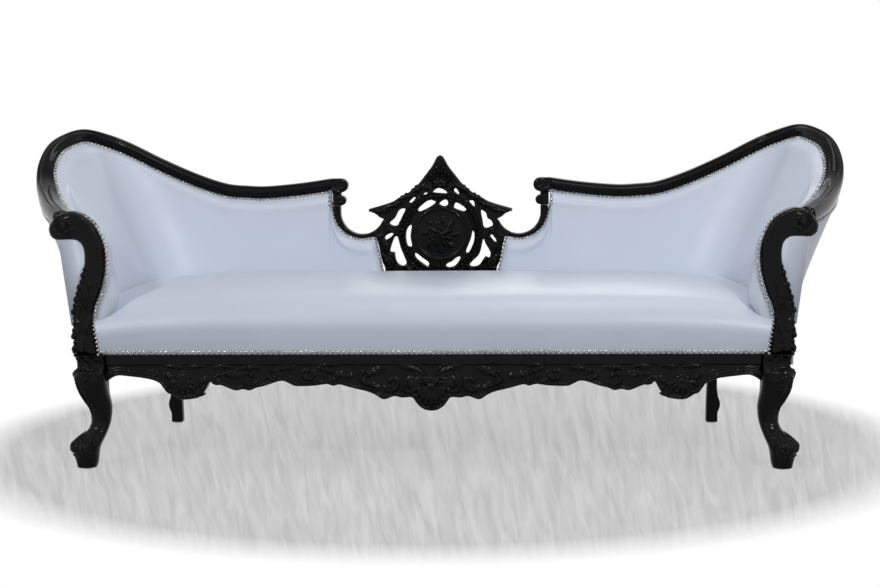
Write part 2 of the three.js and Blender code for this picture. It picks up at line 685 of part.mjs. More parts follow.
function crestHalfPoints() {
  const at = ([x, z]) => new THREE.Vector2(x * CREST_HALF, crestBottom + z * crestRise);
  const armPoint = (turn) =>
    new THREE.Vector2(
      CREST_ARM_X + CREST_ARM_RADIUS * Math.cos(2 * Math.PI * turn),
      CREST_ARM_Z + CREST_ARM_RADIUS * Math.sin(2 * Math.PI * turn),
    );
  const cutX = CREST_HALF - PAD_SINK;
  const upper = new THREE.SplineCurve(crestUpperShares.map(at)).getPoints(24);
  const under = crestUnderShares.map(at);
  const arc = crestArcShares.map(armPoint);
  const cutTurn = Math.acos((cutX - CREST_ARM_X) / CREST_ARM_RADIUS) / (2 * Math.PI);
  arc.push(armPoint(1 - cutTurn));
  const drop = Math.sqrt(crestArmOuter ** 2 - (cutX - CREST_ARM_X) ** 2);
  const foot = new THREE.Vector2(cutX, CREST_ARM_Z + crestArmShift - drop);
  return upper.concat(under, arc, [foot], crestSideShares.map(at));
}

function crestPlate() {
  const right = crestHalfPoints();
  const left = right.map((point) => new THREE.Vector2(-point.x, point.y)).reverse();
  const apex = new THREE.Vector2(0, CREST_HEIGHT);
  const openings = slotTurnShares.map(([from, to]) => slotPath(2 * Math.PI * from, 2 * Math.PI * to));
  for (const [x, z, length, width, tilt] of leafShares) {
    const [across, up] = [x * CREST_HALF, MEDALLION_HEIGHT + z * CREST_HALF];
    openings.push(leafPath(across, up, length * CREST_HALF, width * CREST_HALF, 2 * Math.PI * tilt));
  }
  const panel = plate(new THREE.Shape([apex, ...right, ...left]), crestFront, CREST_THICK, 0, 5);
  const cut = (rest, opening) => rest.subtract(plate(opening, crestFront - OVERRUN, OVERRUN * 2, 0, 5));
  return openings.reduce(cut, panel);
}

// Twisted rope ring carved on the crest's face round the slots.
function ropeRing() {
  const geometry = new THREE.TorusGeometry(ROPE_RADIUS, ROPE_THICK, 6, 44);
  geometry.rotateX(Math.PI / 2);
  geometry.translate(0, crestFront - SCROLL_SINK, MEDALLION_HEIGHT);
  return solidOf(geometry);
}

// Fan of lobes under the crest's point.
const crestFanShare = 0.79;
const crestTurnShares = [0.05, 0.45];

function crestFan() {
  let fan = null;
  for (let k = 0; k < CREST_LOBES; k += 1) {
    const angle = turnBetween(crestTurnShares, k / (CREST_LOBES - 1));
    const geometry = new THREE.SphereGeometry(1, 7, 5);
    geometry.scale(CREST_FAN_RADIUS / 2, CREST_LOBE_RADIUS, CREST_LOBE_RADIUS);
    geometry.translate(CREST_FAN_RADIUS / 2 - CREST_LOBE_RADIUS / 3, 0, 0);
    geometry.rotateY(-angle);
    geometry.translate(0, crestFront - SCROLL_SINK, crestBottom + crestFanShare * crestRise);
    const lobe = solidOf(geometry);
    fan = fan ? fan.add(lobe) : lobe;
  }
  return fan;
}

addPart('crest', crestPlate().add(ropeRing()).add(crestFan()), 'lacquer');

// Medallion: a domed, stepped disc on the crest's face with a carved boss.
const medallionShares = [
  [0, 0], [0.97, 0], [1, 0.25], [0.93, 0.55], [0.86, 0.35], [0.78, 0.35], [0.6, 0.72], [0.3, 0.95], [0, 1],
];

function medallion() {
  const profile = medallionShares.map(([r, y]) => {
    return new THREE.Vector2(r * MEDALLION_RADIUS, y * MEDALLION_RISE);
  });
  const geometry = new THREE.LatheGeometry(profile, 36);
  geometry.rotateX(Math.PI);
  geometry.translate(0, crestFront - GAP, MEDALLION_HEIGHT);
  return solidOf(geometry);
}

addPart('crest_medallion', medallion(), 'lacquer');

// Rear legs, each one piece with the back stile above it.
// Rows: share of the height, of the knob's reach, of the rake, and of the way from the stile's depth to the
// leg's.
const rearLegShares = [
  [0, 0, 2, 1], [0.035, 0, 1.96, 1], [0.045, 0.5, 1.9, 1], [0.06, 1, 1.8, 1], [0.078, 0.9, 1.7, 1],
  [0.095, 0.1, 1.5, 1], [0.13, -0.6, 1, 1], [0.2, -0.8, 0.4, 1], [0.3, -0.4, 0.1, 1], [0.4, 0, 0, 0],
  [0.6, 0, 0, 0], [0.8, 0, 0.5, 0], [1, 0, 1, 0],
];
const rearLegSquareness = 7;
const stileTop = EAR_HEIGHT - (EAR_HEIGHT - DIP_HEIGHT) / 2;

function rearLeg(grow) {
  const base = GLIDE_HEIGHT + GAP;
  const rings = rearLegShares.map(([height, reach, rake, full]) => {
    const z = base + height * (stileTop - base);
    const y = rearStileY + rake * REAR_LEG_RAKE;
    const depth = STILE_DEPTH + full * (REAR_LEG_DEPTH - STILE_DEPTH) + 2 * grow;
    const x0 = rearLegX - REAR_LEG_WIDTH / 2 - grow;
    const x1 = rearLegX + REAR_LEG_WIDTH / 2 + reach * KNOB_REACH + grow;
    return roundedRing(x0, x1, y - depth / 2, y + depth / 2, z, rearLegSquareness, 16);
  });
  return loft(rings);
}

addPair('rear_leg', largest(rearLeg(0).subtract(railRoom)), 'lacquer');
const rearLegRoom = rearLeg(GAP * 2);

// Seat frame of beech behind the carved front rail.
const sideFrontY = kneeBack + GAP;
const sideBackY = rearStileY - REAR_LEG_DEPTH / 2 - GAP;
const sideFrontX = legOuterDatum - OUTSIDE_THICK - OUTSIDE_PROUD - GAP;
const sideBackX = rearLegX + REAR_LEG_WIDTH / 2;
const rearRailFront = rearStileY + REAR_LEG_DEPTH / 2 - RAIL_THICK;
const rearRailBack = rearStileY + REAR_LEG_DEPTH / 2;
const rearRailHalf = rearLegX - REAR_LEG_WIDTH / 2 - KNOB_REACH - GAP;

function sideRail() {
  const corners = [
    [sideFrontX, sideFrontY], [sideBackX, sideBackY],
    [sideBackX - SIDE_RAIL_THICK, sideBackY], [sideFrontX - SIDE_RAIL_THICK, sideFrontY],
  ];
  return prism(corners, railBottom, railTop);
}

function sideOuterX(y) {
  const share = (y - sideFrontY) / (sideBackY - sideFrontY);
  return sideFrontX + share * (sideBackX - sideFrontX);
}

function sideInnerX(y) {
  return sideOuterX(y) - SIDE_RAIL_THICK - GAP * 2;
}

addPair('side_seat_rail', sideRail(), 'lacquer');
const rearRail = block([-rearRailHalf, rearRailFront, railBottom], [rearRailHalf, rearRailBack, railTop]);
addPart('rear_seat_rail', rearRail, 'lacquer');

// Corner blocks brace the front rail and the rear rail to the side rails.
const frontInside = railFace + RAIL_THICK + GAP;
const rearInside = rearRailFront - GAP;
const blockLow = railTop - STRETCHER_HEIGHT / 2 - BLOCK_HEIGHT;
const blockHigh = railTop - STRETCHER_HEIGHT / 2;

function frontBlock() {
  const y = frontInside + BLOCK_LENGTH;
  const x = legInner - GAP;
  const behindLeg = kneeBack + GAP;
  const corners = [
    [x, frontInside], [x, behindLeg], [sideInnerX(behindLeg), behindLeg], [sideInnerX(y), y],
    [x - BLOCK_LENGTH / 3, y], [x - BLOCK_LENGTH, frontInside],
  ];
  return prism(corners, blockLow, blockHigh);
}

function rearBlock() {
  const y = rearInside - BLOCK_LENGTH;
  const x = rearRailHalf;
  const corners = [
    [x, rearInside], [x - BLOCK_LENGTH, rearInside], [x - BLOCK_LENGTH / 3, y], [sideInnerX(y), y],
  ];
  return prism(corners, blockLow, blockHigh);
}

addPair('front_corner_block', frontBlock(), 'beech');
addPair('rear_corner_block', rearBlock(), 'beech');

const stretcherTop = railTop - STRETCHER_HEIGHT / 2;

function stretcher(x) {
  return block(
    [x - STRETCHER_WIDTH / 2, frontInside, stretcherTop - STRETCHER_HEIGHT],
    [x + STRETCHER_WIDTH / 2, rearInside, stretcherTop],
  );
}

addPair('seat_stretcher', stretcher(STRETCHER_SPACING / 2), 'beech');

// Lower back rail, the stiles beside the crest and the post under its middle.
const backRailBottom = BACK_RAIL_TOP - BACK_RAIL_HEIGHT;
const backRailBack = rearStileY + STILE_DEPTH / 2;

function lowerBackRail(grow) {
  return block(
    [-rearRailHalf, backRailBack - STILE_DEPTH - grow, backRailBottom - grow],
    [rearRailHalf, backRailBack + grow, BACK_RAIL_TOP + grow],
  );
}

addPart('lower_back_rail', lowerBackRail(0), 'beech');
addPart(
  'centre_back_post',
  block(
    [-STILE_WIDTH / 2, backRailBack - STILE_DEPTH, railTop + GAP],
    [STILE_WIDTH / 2, backRailBack, backRailBottom - GAP],
  ),
  'beech',
);
const crestArmBottom = CREST_ARM_Z + crestArmShift - crestArmOuter;
const stileX = CREST_HALF;

function innerStile(grow) {
  return block(
    [stileX - grow, backRailBack - STILE_DEPTH - grow, BACK_RAIL_TOP + GAP],
    [stileX + STILE_WIDTH + grow, backRailBack + grow, crestArmBottom - GAP],
  );
}

addPair('inner_stile', innerStile(0), 'beech');

// Ear posts stand on the side rails and flare out to carry the ears.
// Rows: share of the rise from the side rail to the ear, share of the flare, share of the way back.
const earPostShares = [
  [0, 0, 0.6], [0.15, 0.17, 0.6], [0.35, 0.41, 0.603], [0.6, 0.68, 0.608], [0.8, 0.87, 0.612],
  [1.04, 1.04, 0.615],
];
const earPostSquareness = 9;
const earPostLow = railTop + GAP;

function earPost(grow) {
  const foot = railFace + earPostShares[0][2] * backRun;
  const x0 = sideOuterX(foot) - OUTSIDE_THICK - OUTSIDE_PROUD - EAR_POST_SIZE / 2;
  const [earX, , earZ] = railLine[backLineShares.length + 2];
  const x1 = earX - EAR_POST_SIZE / 3;
  const rings = earPostShares.map(([rise, flare, back]) => {
    const x = x0 + flare * (x1 - x0);
    const y = railFace + back * backRun;
    const z = earPostLow + rise * (earZ - earPostLow);
    const half = EAR_POST_SIZE / 2 + grow;
    return roundedRing(x - half, x + half, y - half, y + half, z, earPostSquareness, 12);
  });
  return largest(loft(rings).subtract(railRoom));
}

addPair('ear_post', earPost(0), 'beech');
const earRoom = earPost(GAP * 2);

// Webbing: straps tacked across the top of the seat frame, woven as one net.
const webLow = railTop + GAP;
const webFront = railFace + RAIL_THICK - WEB_LAP;
const webBack = rearRailFront + WEB_LAP;
const webHalf = sideInnerX(sideBackY) - BLOCK_LENGTH / 3;

function webbing() {
  let net = null;
  const lay = (low, high) => {
    const strap = block(low, high);
    net = net ? net.add(strap) : strap;
  };
  for (let k = 0; k < CROSS_STRAPS; k += 1) {
    const x = -webHalf + (webHalf * (2 * k + 1)) / CROSS_STRAPS;
    lay([x - WEB_WIDTH / 2, webFront, webLow], [x + WEB_WIDTH / 2, webBack, webLow + WEB_THICK]);
  }
  for (let k = 0; k < LONG_STRAPS; k += 1) {
    const y = webFront + ((webBack - webFront) * (2 * k + 1)) / (2 * LONG_STRAPS);
    const reach = sideInnerX(y) + WEB_LAP;
    const low = webLow + WEB_WEAVE;
    lay([-reach, y - WEB_WIDTH / 2, low], [reach, y + WEB_WIDTH / 2, low + WEB_THICK]);
  }
  return net;
}

addPart('webbing', webbing(), 'webbing');

// Hessian deck over the webbing, notched round the uprights, and the dust cover under the frame.
const uprightRooms = [postRoom, rearLegRoom, earRoom];
const deckRooms = uprightRooms.concat(uprightRooms.map(mirrored));
function sheetUnder(front, back, inset, zLow, thick) {
  const a = sideInnerX(front) + SIDE_RAIL_THICK - inset;
  const b = sideInnerX(back) + SIDE_RAIL_THICK - inset;
  return prism([[-a, front], [a, front], [b, back], [-b, back]], zLow, zLow + thick);
}

const deckLow = webLow + WEB_WEAVE + WEB_THICK + GAP;
const wholeDeck = sheetUnder(webFront, webBack, WEB_LAP, deckLow, DECK_THICK);
addPart('seat_deck', deckRooms.reduce((left, room) => left.subtract(room), wholeDeck), 'hessian');
const dustLow = railBottom - GAP - DUST_THICK;
addPart('dust_cover', sheetUnder(sideFrontY, rearInside, WEB_LAP, dustLow, DUST_THICK), 'cloth');

// Upholstery stations, from the crest's side out to the ear and forward to the arm post.
// Base of the inside leather along the back: share of the leg's inner distance, share of the way back.
const insideBackShares = [
  [0.379, 0.918], [0.477, 0.918], [0.58, 0.918], [0.66, 0.918], [0.72, 0.916], [0.78, 0.904],
  [0.834, 0.877], [0.88, 0.834], [0.915, 0.778],
];
// Base of the inside leather along the arm: share of the way back.
const insideArmShares = [0.712, 0.64, 0.56, 0.48, 0.4, 0.32, 0.234, 0.141, 0.07];
const insideBase = insideBackShares
  .map(([x, y]) => [x * legInner, railFace + y * backRun])
  .concat(insideArmShares.map((y) => {
    const back = railFace + y * backRun;
    return [sideOuterX(back) - INSIDE_INSET, back];
  }));
// Direction in which the leather faces, in turns from straight ahead, and how far it swells.
const insideTurnShares = [
  0, 0, 0, 0, 0.01, 0.03, 0.06, 0.095, 0.13, 0.165, 0.19, 0.205, 0.22, 0.23, 0.24, 0.245, 0.25, 0.25,
];
const insideSwellShares = [
  0, 0, 0, 0, 0, 0, 0, 0, 0, 0, 0, 0, 0, 0, 0, 0.12, 0.55, 0.93,
];
// Stations between the crest's side and the terminal: place across, from the crest's edge to the terminal.
const innerStationShares = [0, 0.13, 0.37, 0.6, 0.76, 0.855, 0.91, 0.94];
const padBase = LEG_HEIGHT + PAD_LIFT;
const crestEdgeShare = 0.905;
const crestFootShare = 0.705;
const postPadShare = 1.012;
const padSeamShare = 0.62;
// Last station beside the arm post, where the arm pad ends in a roll: share of the way back, across the
// post's span, up the post's height, share of the swell.
const postStationShares = [0.005, 0.34, 0.92, 0.35];
const sideTurnShare = 0.25;
const crestEdgeX = CREST_HALF * crestEdgeShare;
const crestFootX = CREST_HALF * crestFootShare;

function facing(turn) {
  return new THREE.Vector3(-Math.sin(2 * Math.PI * turn), -Math.cos(2 * Math.PI * turn), 0);
}

function underCrestArm(x) {
  const across = Math.min(Math.abs(x - CREST_ARM_X), crestArmOuter - GAP);
  const z = CREST_ARM_Z + crestArmShift - Math.sqrt(crestArmOuter ** 2 - across ** 2);
  return Math.min(z, terminalBottom) - GAP * 2;
}

// Height of the leather's upper edge at a place across, under the crest's arm or beside the terminal.
const sidePlace = terminalOuter - GAP * 3;
const innerStations = innerStationShares.length + 1;
const railStations = insideBase.length;
const padStations = innerStations + railStations + 1;

function innerTop(i) {
  if (i === innerStations - 1) return [sidePlace, terminalBottom + TERMINAL_LOWER_BALL];
  const x = crestEdgeX + innerStationShares[i] * (terminalOuter - crestEdgeX);
  return [x, underCrestArm(Math.max(x, CREST_HALF))];
}

// Place across of the leather's lower edge at the same stations, where the crest is narrower.
function innerBase(i) {
  if (i === innerStations - 1) return sidePlace;
  return crestFootX + innerStationShares[i] * (terminalOuter - crestFootX);
}

// Rows for the inside leather: base X and Y, turn, swell.
function insideRows() {
  const rows = [];
  for (let i = 0; i < innerStations; i += 1) {
    rows.push([innerBase(i), insideBase[0][1], 0, BACK_PAD_DEPTH]);
  }
  insideBase.forEach(([x, y], i) => {
    const swell = BACK_PAD_DEPTH + insideSwellShares[i] * (ARM_PAD_DEPTH - BACK_PAD_DEPTH);
    rows.push([x, y, insideTurnShares[i], swell]);
  });
  const [y, , , swell] = postStationShares;
  rows.push([legInner * postPadShare, railFace + y * backRun, sideTurnShare, ARM_PAD_DEPTH * swell]);
  return rows;
}

const insideStations = insideRows();
// The leather rolls over at its edges: the upper roll in shares of the swell, the lower one of the height.
const padRungShares = [0, 0.12, 0.3, 0.56, 0.78, 0.92];
const padRollShare = 1.3;
const padFootShare = 0.3;
const wrapStart = padStations - 4;
const railLeatherY = railLine[0][1] - railSectionShares[0][1] * TOP_RAIL_DEPTH;

// Front and back corner of the inside leather's upper edge at a station's place.
function insideTop(spot) {
  const t = (spot - innerStations) / (railStations - 1);
  if (t < 0) {
    const share = spot / (innerStations - 1);
    const [x, z] = smoothRow([...Array(innerStations).keys()].map(innerTop), share);
    const edge = crestArmFront + PAD_SINK / 2;
    const front = edge + (railLeatherY - edge) * share;
    const back = crestArmFront + CREST_ARM_THICK - PAD_SINK / 2;
    return [new THREE.Vector3(x, front, z), new THREE.Vector3(x, back, z)];
  }
  if (t > 1) {
    const [y, x, z] = postStationShares;
    const top = new THREE.Vector3(postX + x * POST_SPAN, railFace + y * backRun, postBase + z * postRise);
    return [top, top.clone().add(new THREE.Vector3(PAD_BASE_THICK, 0, 0))];
  }
  const { centre, out, face, width } = railFrame(t);
  const edge = centre.addScaledVector(out, -width / 2 - GAP * 4);
  const corners = [railSectionShares[0], railSectionShares[railSectionShares.length - 1]];
  return corners.map(([, share]) => edge.clone().addScaledVector(face, share * TOP_RAIL_DEPTH));
}

function padRing(spot, grow) {
  const [x, y, turn, swell] = smoothRow(insideStations, spot / (padStations - 1));
  const wrap = Math.max(0, (spot - wrapStart) / (padStations - 1 - wrapStart));
  const thick = PAD_BASE_THICK + wrap * ARM_WRAP;
  const base = new THREE.Vector3(x, y, padBase - grow);
  const [top, backTop] = insideTop(spot);
  const ahead = facing(turn);
  const roll = (padRollShare * swell) / top.distanceTo(base);
  const ring = padRungShares.map((v) => {
    const rounded = Math.sqrt(1 - (1 - Math.min(1, (1 - v) / roll)) ** 2);
    const bulge = swell * rounded * Math.sin((Math.PI / 2) * Math.min(1, v / padFootShare));
    return base.clone().lerp(top, v).addScaledVector(ahead, grow + bulge);
  });
  const baseBack = base.clone().addScaledVector(ahead, -thick);
  backTop.addScaledVector(ahead, -wrap * ARM_WRAP);
  ring.push(top, backTop, backTop.clone().add(baseBack).divideScalar(2), baseBack);
  return ring;
}

// Stops from one station to another, on the top rail's own steps where the leather meets the rail.
const railStopCount = RAIL_STEPS / (railStations - 1);

function stops(from, to) {
  const places = [...Array(innerStations).keys()];
  for (let k = 0; k <= RAIL_STEPS; k += 1) places.push(innerStations + k / railStopCount);
  places.push(padStations - 1);
  return [from, ...places.filter((place) => place > from && place < to), to];
}

function insidePad(from, to, grow) {
  const rings = stops(from, to).map((spot) => padRing(spot, grow));
  if (grow) {
    const ahead = new THREE.Vector3(0, -grow, 0);
    rings.push(rings[rings.length - 1].map((point) => point.clone().add(ahead)));
  }
  return loft(rings);
}

// Where the inside back meets the inside arm, in the ear.
const padSeam = innerStations + Math.round(padSeamShare * (railStations - 1));
const lastStation = padStations - 1;
const seamGap = GAP / railStopCount / EAR_POST_SIZE;
const frameRoom = [
  terminalScroll(GAP), crestArm(GAP), innerStile(GAP), lowerBackRail(GAP), rearLegRoom, railRoom, postRoom,
  earRoom,
];

function fitted(solid) {
  return largest(frameRoom.reduce((left, room) => left.subtract(room), solid));
}

// Outside leather: one sheet behind the back and one round the ear and the arm.
const outsideTurnShares = [
  0, 0, 0, 0, 0, 0, 0, 0.01, 0.05, 0.12, 0.18, 0.21, 0.222, 0.226, 0.228, 0.23, 0.23, 0.23,
];
const outsideReachShares = [
  -0.3, -0.3, -0.3, -0.3, -0.3, -0.3, -0.3, -0.25, -0.15, 0, 0.1, 0.2, 0.3, 0.34, 0.3, 0.1, -0.3, -0.75,
];

// Base of the outside leather: along the back, round the corner, then along the side rail.
const outsideBackShares = [0.395, 0.499, 0.623, 0.692, 0.761, 0.829, 0.892, 0.948, 0.985];
const outsideSideShares = [0.91, 0.83, 0.75, 0.65, 0.53, 0.406, 0.281, 0.172, 0.064];
const outsideY = rearRailBack + OUTSIDE_PROUD + OUTSIDE_THICK;
const outsideBase = outsideBackShares
  .map((x) => [x * (sideBackX + OUTSIDE_THICK + OUTSIDE_PROUD), outsideY])
  .concat(outsideSideShares.map((y) => railFace + y * backRun).map((y) => [
    sideOuterX(y) + OUTSIDE_PROUD + OUTSIDE_THICK,
    y,
  ]));
const outsideLow = LEG_HEIGHT - OUTSIDE_LAP;
const outsideSeamShare = 0.55;
const outsideSideShare = 0.1;

// Rows for the outside leather: base X and Y, turn, swell.
function outsideRows() {
  const rows = [];
  for (let i = 0; i < innerStations; i += 1) {
    rows.push([innerBase(i), outsideY, 0, OUTSIDE_THICK / 2]);
  }
  outsideBase.forEach(([x, y], i) => {
    const onSide = outsideTurnShares[i] > outsideSideShare;
    rows.push([x, y, outsideTurnShares[i], onSide ? OUTSIDE_SWELL : OUTSIDE_THICK / 2]);
  });
  return rows;
}

const outsideStations = outsideRows();
const panelRungShares = [0, 0.27, 0.54, 0.8, 1];
const panelEnd = innerStations + railStations - 1;
const panelLift = CREST_ARM_BAND / 2;

// Upper edge of the outside leather at a station's place, and the way its face looks there.
function outsideTop(spot, grow) {
  const t = (spot - innerStations) / (railStations - 1);
  if (t < 0) {
    const [x, z] = smoothRow([...Array(innerStations).keys()].map(innerTop), spot / (innerStations - 1));
    const y = crestFront + CREST_THICK + GAP * 2 + OUTSIDE_THICK + grow;
    return [new THREE.Vector3(x, y, z + panelLift), new THREE.Vector3(0, -1, 0)];
  }
  const { centre, out, face, width } = railFrame(t);
  const [reach] = smoothRow(outsideReachShares.map((share) => [share]), t);
  const back = TOP_RAIL_DEPTH / 2 + OUTSIDE_THICK + GAP * 4 + grow;
  return [centre.addScaledVector(out, reach * width).addScaledVector(face, -back), face];
}

function outsideRing(spot, grow) {
  const [x, y, turn, swell] = smoothRow(outsideStations, spot / panelEnd);
  const ahead = facing(turn);
  const base = new THREE.Vector3(x, y, outsideLow).addScaledVector(ahead, -grow);
  const [top, face] = outsideTop(spot, grow);
  const outer = panelRungShares.map((v) => {
    return base.clone().lerp(top, v).addScaledVector(ahead, -swell * Math.sin(Math.PI * v));
  });
  const inner = outer.map((point, k) => {
    const through = ahead.clone().lerp(face, panelRungShares[k] ** 2).normalize();
    return point.clone().addScaledVector(through, OUTSIDE_THICK + 2 * grow);
  });
  return outer.concat(inner.reverse());
}

function outsidePanel(from, to, grow) {
  return loft(stops(from, to).map((spot) => outsideRing(spot, grow)));
}

const outsideSeam = innerStations + Math.round(outsideSeamShare * (railStations - 1));
addPair('outside_back', fitted(outsidePanel(0, outsideSeam - seamGap, 0)), 'leather');
addPair('outside_arm', fitted(outsidePanel(outsideSeam + seamGap, panelEnd, 0).subtract(legRoom)), 'leather');
addPart(
  'centre_back_panel',
  block(
    [-crestFootX + GAP, rearRailBack + OUTSIDE_PROUD, outsideLow],
    [crestFootX - GAP, outsideY, BACK_RAIL_TOP],
  ),
  'leather',
);

// Inside leather, cut where it lies against the frame and the outside leather.
const outsideRoom = outsidePanel(0, panelEnd, GAP);
const insideBack = fitted(insidePad(0, padSeam - seamGap, 0).subtract(outsideRoom));
const insideArm = fitted(insidePad(padSeam + seamGap, lastStation, 0).subtract(outsideRoom));
addPair('inside_back', insideBack, 'leather');
addPair('inside_arm_pad', insideArm, 'leather');

// Seat: a front border that swells over the rail, a soft roll and a crowned top.
// Rows: share of the way back, share of the height from the rail to the crown, share of swell.
const seatSectionShares = [
  [0, 0.004, 0.35], [0, 0.1, 0.75], [0, 0.27, 1], [0, 0.46, 0.75], [0.012, 0.64, 0], [0.05, 0.79, 0],
  [0.13, 0.89, 0], [0.3, 0.965, 0], [0.52, 1, 0], [0.74, 0.995, 0], [0.92, 0.96, 0], [1, 0.9, 0],
];
const seatLapShare = 0.1;
const seatFallPower = 6;
const seatLevelShare = 0.6;
const seatBack = insideBase[0][1] - BACK_PAD_DEPTH;
const seatLow = deckLow + DECK_THICK + GAP;
const lipLow = LEG_HEIGHT - RAIL_REBATE / 2 + GAP;

function seatRing(across) {
  const fall = Math.abs(across) ** seatFallPower * SEAT_END_DROP;
  const half = (y) => {
    return Math.min(legInner + POST_SPAN * seatLapShare, sideOuterX(y) - INSIDE_INSET + PAD_BASE_THICK / 2);
  };
  const at = (y, z) => new THREE.Vector3(across * half(y), y, z);
  const ring = seatSectionShares.map(([back, rise, swell]) => {
    const y = railFace + back * (seatBack - railFace) - swell * SEAT_PROUD;
    return at(y, lipLow + rise * (SEAT_HEIGHT - lipLow) - fall * rise * (1 - seatLevelShare * back));
  });
  const lipBack = railFace + RAIL_REBATE - GAP;
  ring.push(at(seatBack, seatLow), at(lipBack, seatLow), at(lipBack, lipLow));
  return ring;
}

function seatCushion() {
  const rings = [];
  const steps = 20;
  for (let i = 0; i <= steps; i += 1) {
    const t = (2 * i) / steps - 1;
    rings.push(seatRing(Math.sin((Math.PI * t) / 2)));
  }
  const rooms = [insidePad(0, lastStation, GAP * 4), postRoom, earRoom, legRoom];
  return largest(rooms.concat(rooms.map(mirrored)).reduce((left, room) => left.subtract(room), loft(rings)));
}

addPart('seat_cushion', seatCushion(), 'leather');

export default settee;
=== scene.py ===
"""Looks for the carved double-ended settee: lacquered carving, leather, nails, floor, light and camera."""

import math

import bmesh
import bpy
import numpy as np
from mathutils import Matrix, Vector


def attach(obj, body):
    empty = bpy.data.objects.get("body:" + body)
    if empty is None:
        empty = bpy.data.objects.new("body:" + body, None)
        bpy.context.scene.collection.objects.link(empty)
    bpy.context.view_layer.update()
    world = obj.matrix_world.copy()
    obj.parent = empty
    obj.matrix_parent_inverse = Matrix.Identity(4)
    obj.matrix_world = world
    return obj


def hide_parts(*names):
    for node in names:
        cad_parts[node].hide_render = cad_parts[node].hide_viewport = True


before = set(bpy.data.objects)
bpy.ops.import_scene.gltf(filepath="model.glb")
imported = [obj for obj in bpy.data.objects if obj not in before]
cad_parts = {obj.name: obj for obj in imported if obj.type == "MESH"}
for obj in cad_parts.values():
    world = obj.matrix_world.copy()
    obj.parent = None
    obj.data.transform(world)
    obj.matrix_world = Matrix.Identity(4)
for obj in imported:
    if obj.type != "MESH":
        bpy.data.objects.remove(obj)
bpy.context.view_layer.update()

# Sizes in metres, the same ones as in the part's source.
WIDTH, DEPTH = 2.212, 0.720
EAR_HEIGHT, ARM_HEIGHT, CREST_HEIGHT, DIP_HEIGHT = 0.867, 0.666, 0.786, 0.699
SEAT_HEIGHT, LEG_HEIGHT = 0.468, 0.297
GAP = 0.0003
TOE_REACH, EAR_OVERHANG = 0.040, 0.268
RAIL_THICK, RAIL_REBATE, RAIL_LIP, APRON_DROP = 0.045, 0.004, 0.015, 0.148
GLIDE_HEIGHT, LEG_REACH, LEG_BLOCK, TOE_SHARE = 0.004, 0.100, 0.083, 0.94
POST_SPAN, POST_THICK = 0.146, 0.046
REAR_LEG_WIDTH, REAR_LEG_DEPTH, REAR_LEG_INSET, REAR_LEG_RAKE = 0.034, 0.040, 0.053, 0.020
STILE_DEPTH, KNOB_REACH = 0.028, 0.007
TOP_RAIL_WIDTH, ARM_RAIL_WIDTH, TOP_RAIL_DEPTH = 0.034, 0.050, 0.044
TERMINAL_DEPTH, TERMINAL_BALL, TERMINAL_LOWER_BALL, TERMINAL_WIDTH = 0.050, 0.020, 0.014, 0.034
CREST_HALF, CREST_THICK, MEDALLION_HEIGHT, MEDALLION_RADIUS = 0.208, 0.036, 0.560, 0.078
ROPE_RADIUS = 0.108
CREST_ARM_X, CREST_ARM_Z, CREST_ARM_RADIUS = 0.225, 0.622, 0.062
CREST_ARM_BAND, CREST_ARM_THICK = 0.011, 0.034
BACK_RAIL_TOP = 0.430
SEAT_PROUD, PAD_BASE_THICK, INSIDE_INSET, PAD_LIFT, ARM_WRAP = 0.013, 0.017, 0.048, 0.075, 0.060
BACK_PAD_BULGE, ARM_PAD_BULGE, PAD_SINK = 0.024, 0.080, 0.006
OUTSIDE_THICK, OUTSIDE_PROUD, OUTSIDE_LAP, OUTSIDE_SWELL, SEAT_END_DROP = 0.006, 0.002, 0.035, 0.005, 0.040
# Sizes that only the looks have.
RIDGE_FROM_EDGE, RIDGE_WIDTH, RIDGE_RISE, CREST_RIDGE_RISE = 0.034, 0.011, 0.001, 0.0032
SEAT_END_GAP, SEAT_BED_RISE, LEATHER_GAP = 0.0008, 0.006, 0.0005
NAILED_EDGE, RELIEF_GROUND, CREST_GROUND = 0.015, 0.0035, 0.007
NAIL_RADIUS, CLOSE_NAIL_RADIUS, NAIL_RISE, NAIL_PITCH, CLOSE_PITCH = 0.0058, 0.0043, 0.0038, 0.0139, 0.0116

rail_face = -DEPTH / 2 + TOE_REACH
back_run = DEPTH / 2 - REAR_LEG_DEPTH / 2 - REAR_LEG_RAKE - rail_face
back_y = rail_face + back_run
leg_inner = WIDTH / 2 - EAR_OVERHANG
rail_top = LEG_HEIGHT + RAIL_LIP
rear_leg_x = leg_inner - REAR_LEG_INSET
rear_stile_y = back_y - REAR_LEG_RAKE
terminal_outer = CREST_ARM_X + CREST_ARM_RADIUS + TERMINAL_WIDTH - GAP - PAD_SINK / 2
crest_bottom = BACK_RAIL_TOP + GAP
crest_front = back_y - REAR_LEG_RAKE - CREST_THICK / 2
crest_rise = CREST_HEIGHT - crest_bottom
post_base = LEG_HEIGHT + GAP
post_rise = ARM_HEIGHT - post_base
post_x = leg_inner - PAD_SINK - GAP
post_y = rail_face - PAD_SINK
side_front_y = -DEPTH / 2 + TOE_SHARE * LEG_REACH + GAP
side_back_y = rear_stile_y - REAR_LEG_DEPTH / 2 - GAP
side_front_x = leg_inner + LEG_BLOCK - OUTSIDE_THICK - OUTSIDE_PROUD - GAP
side_back_x = rear_leg_x + REAR_LEG_WIDTH / 2


def depth_at(share):
    """Depth at a share of the run from the front rail's face to the back."""
    return rail_face + share * back_run


# Curves and meshes


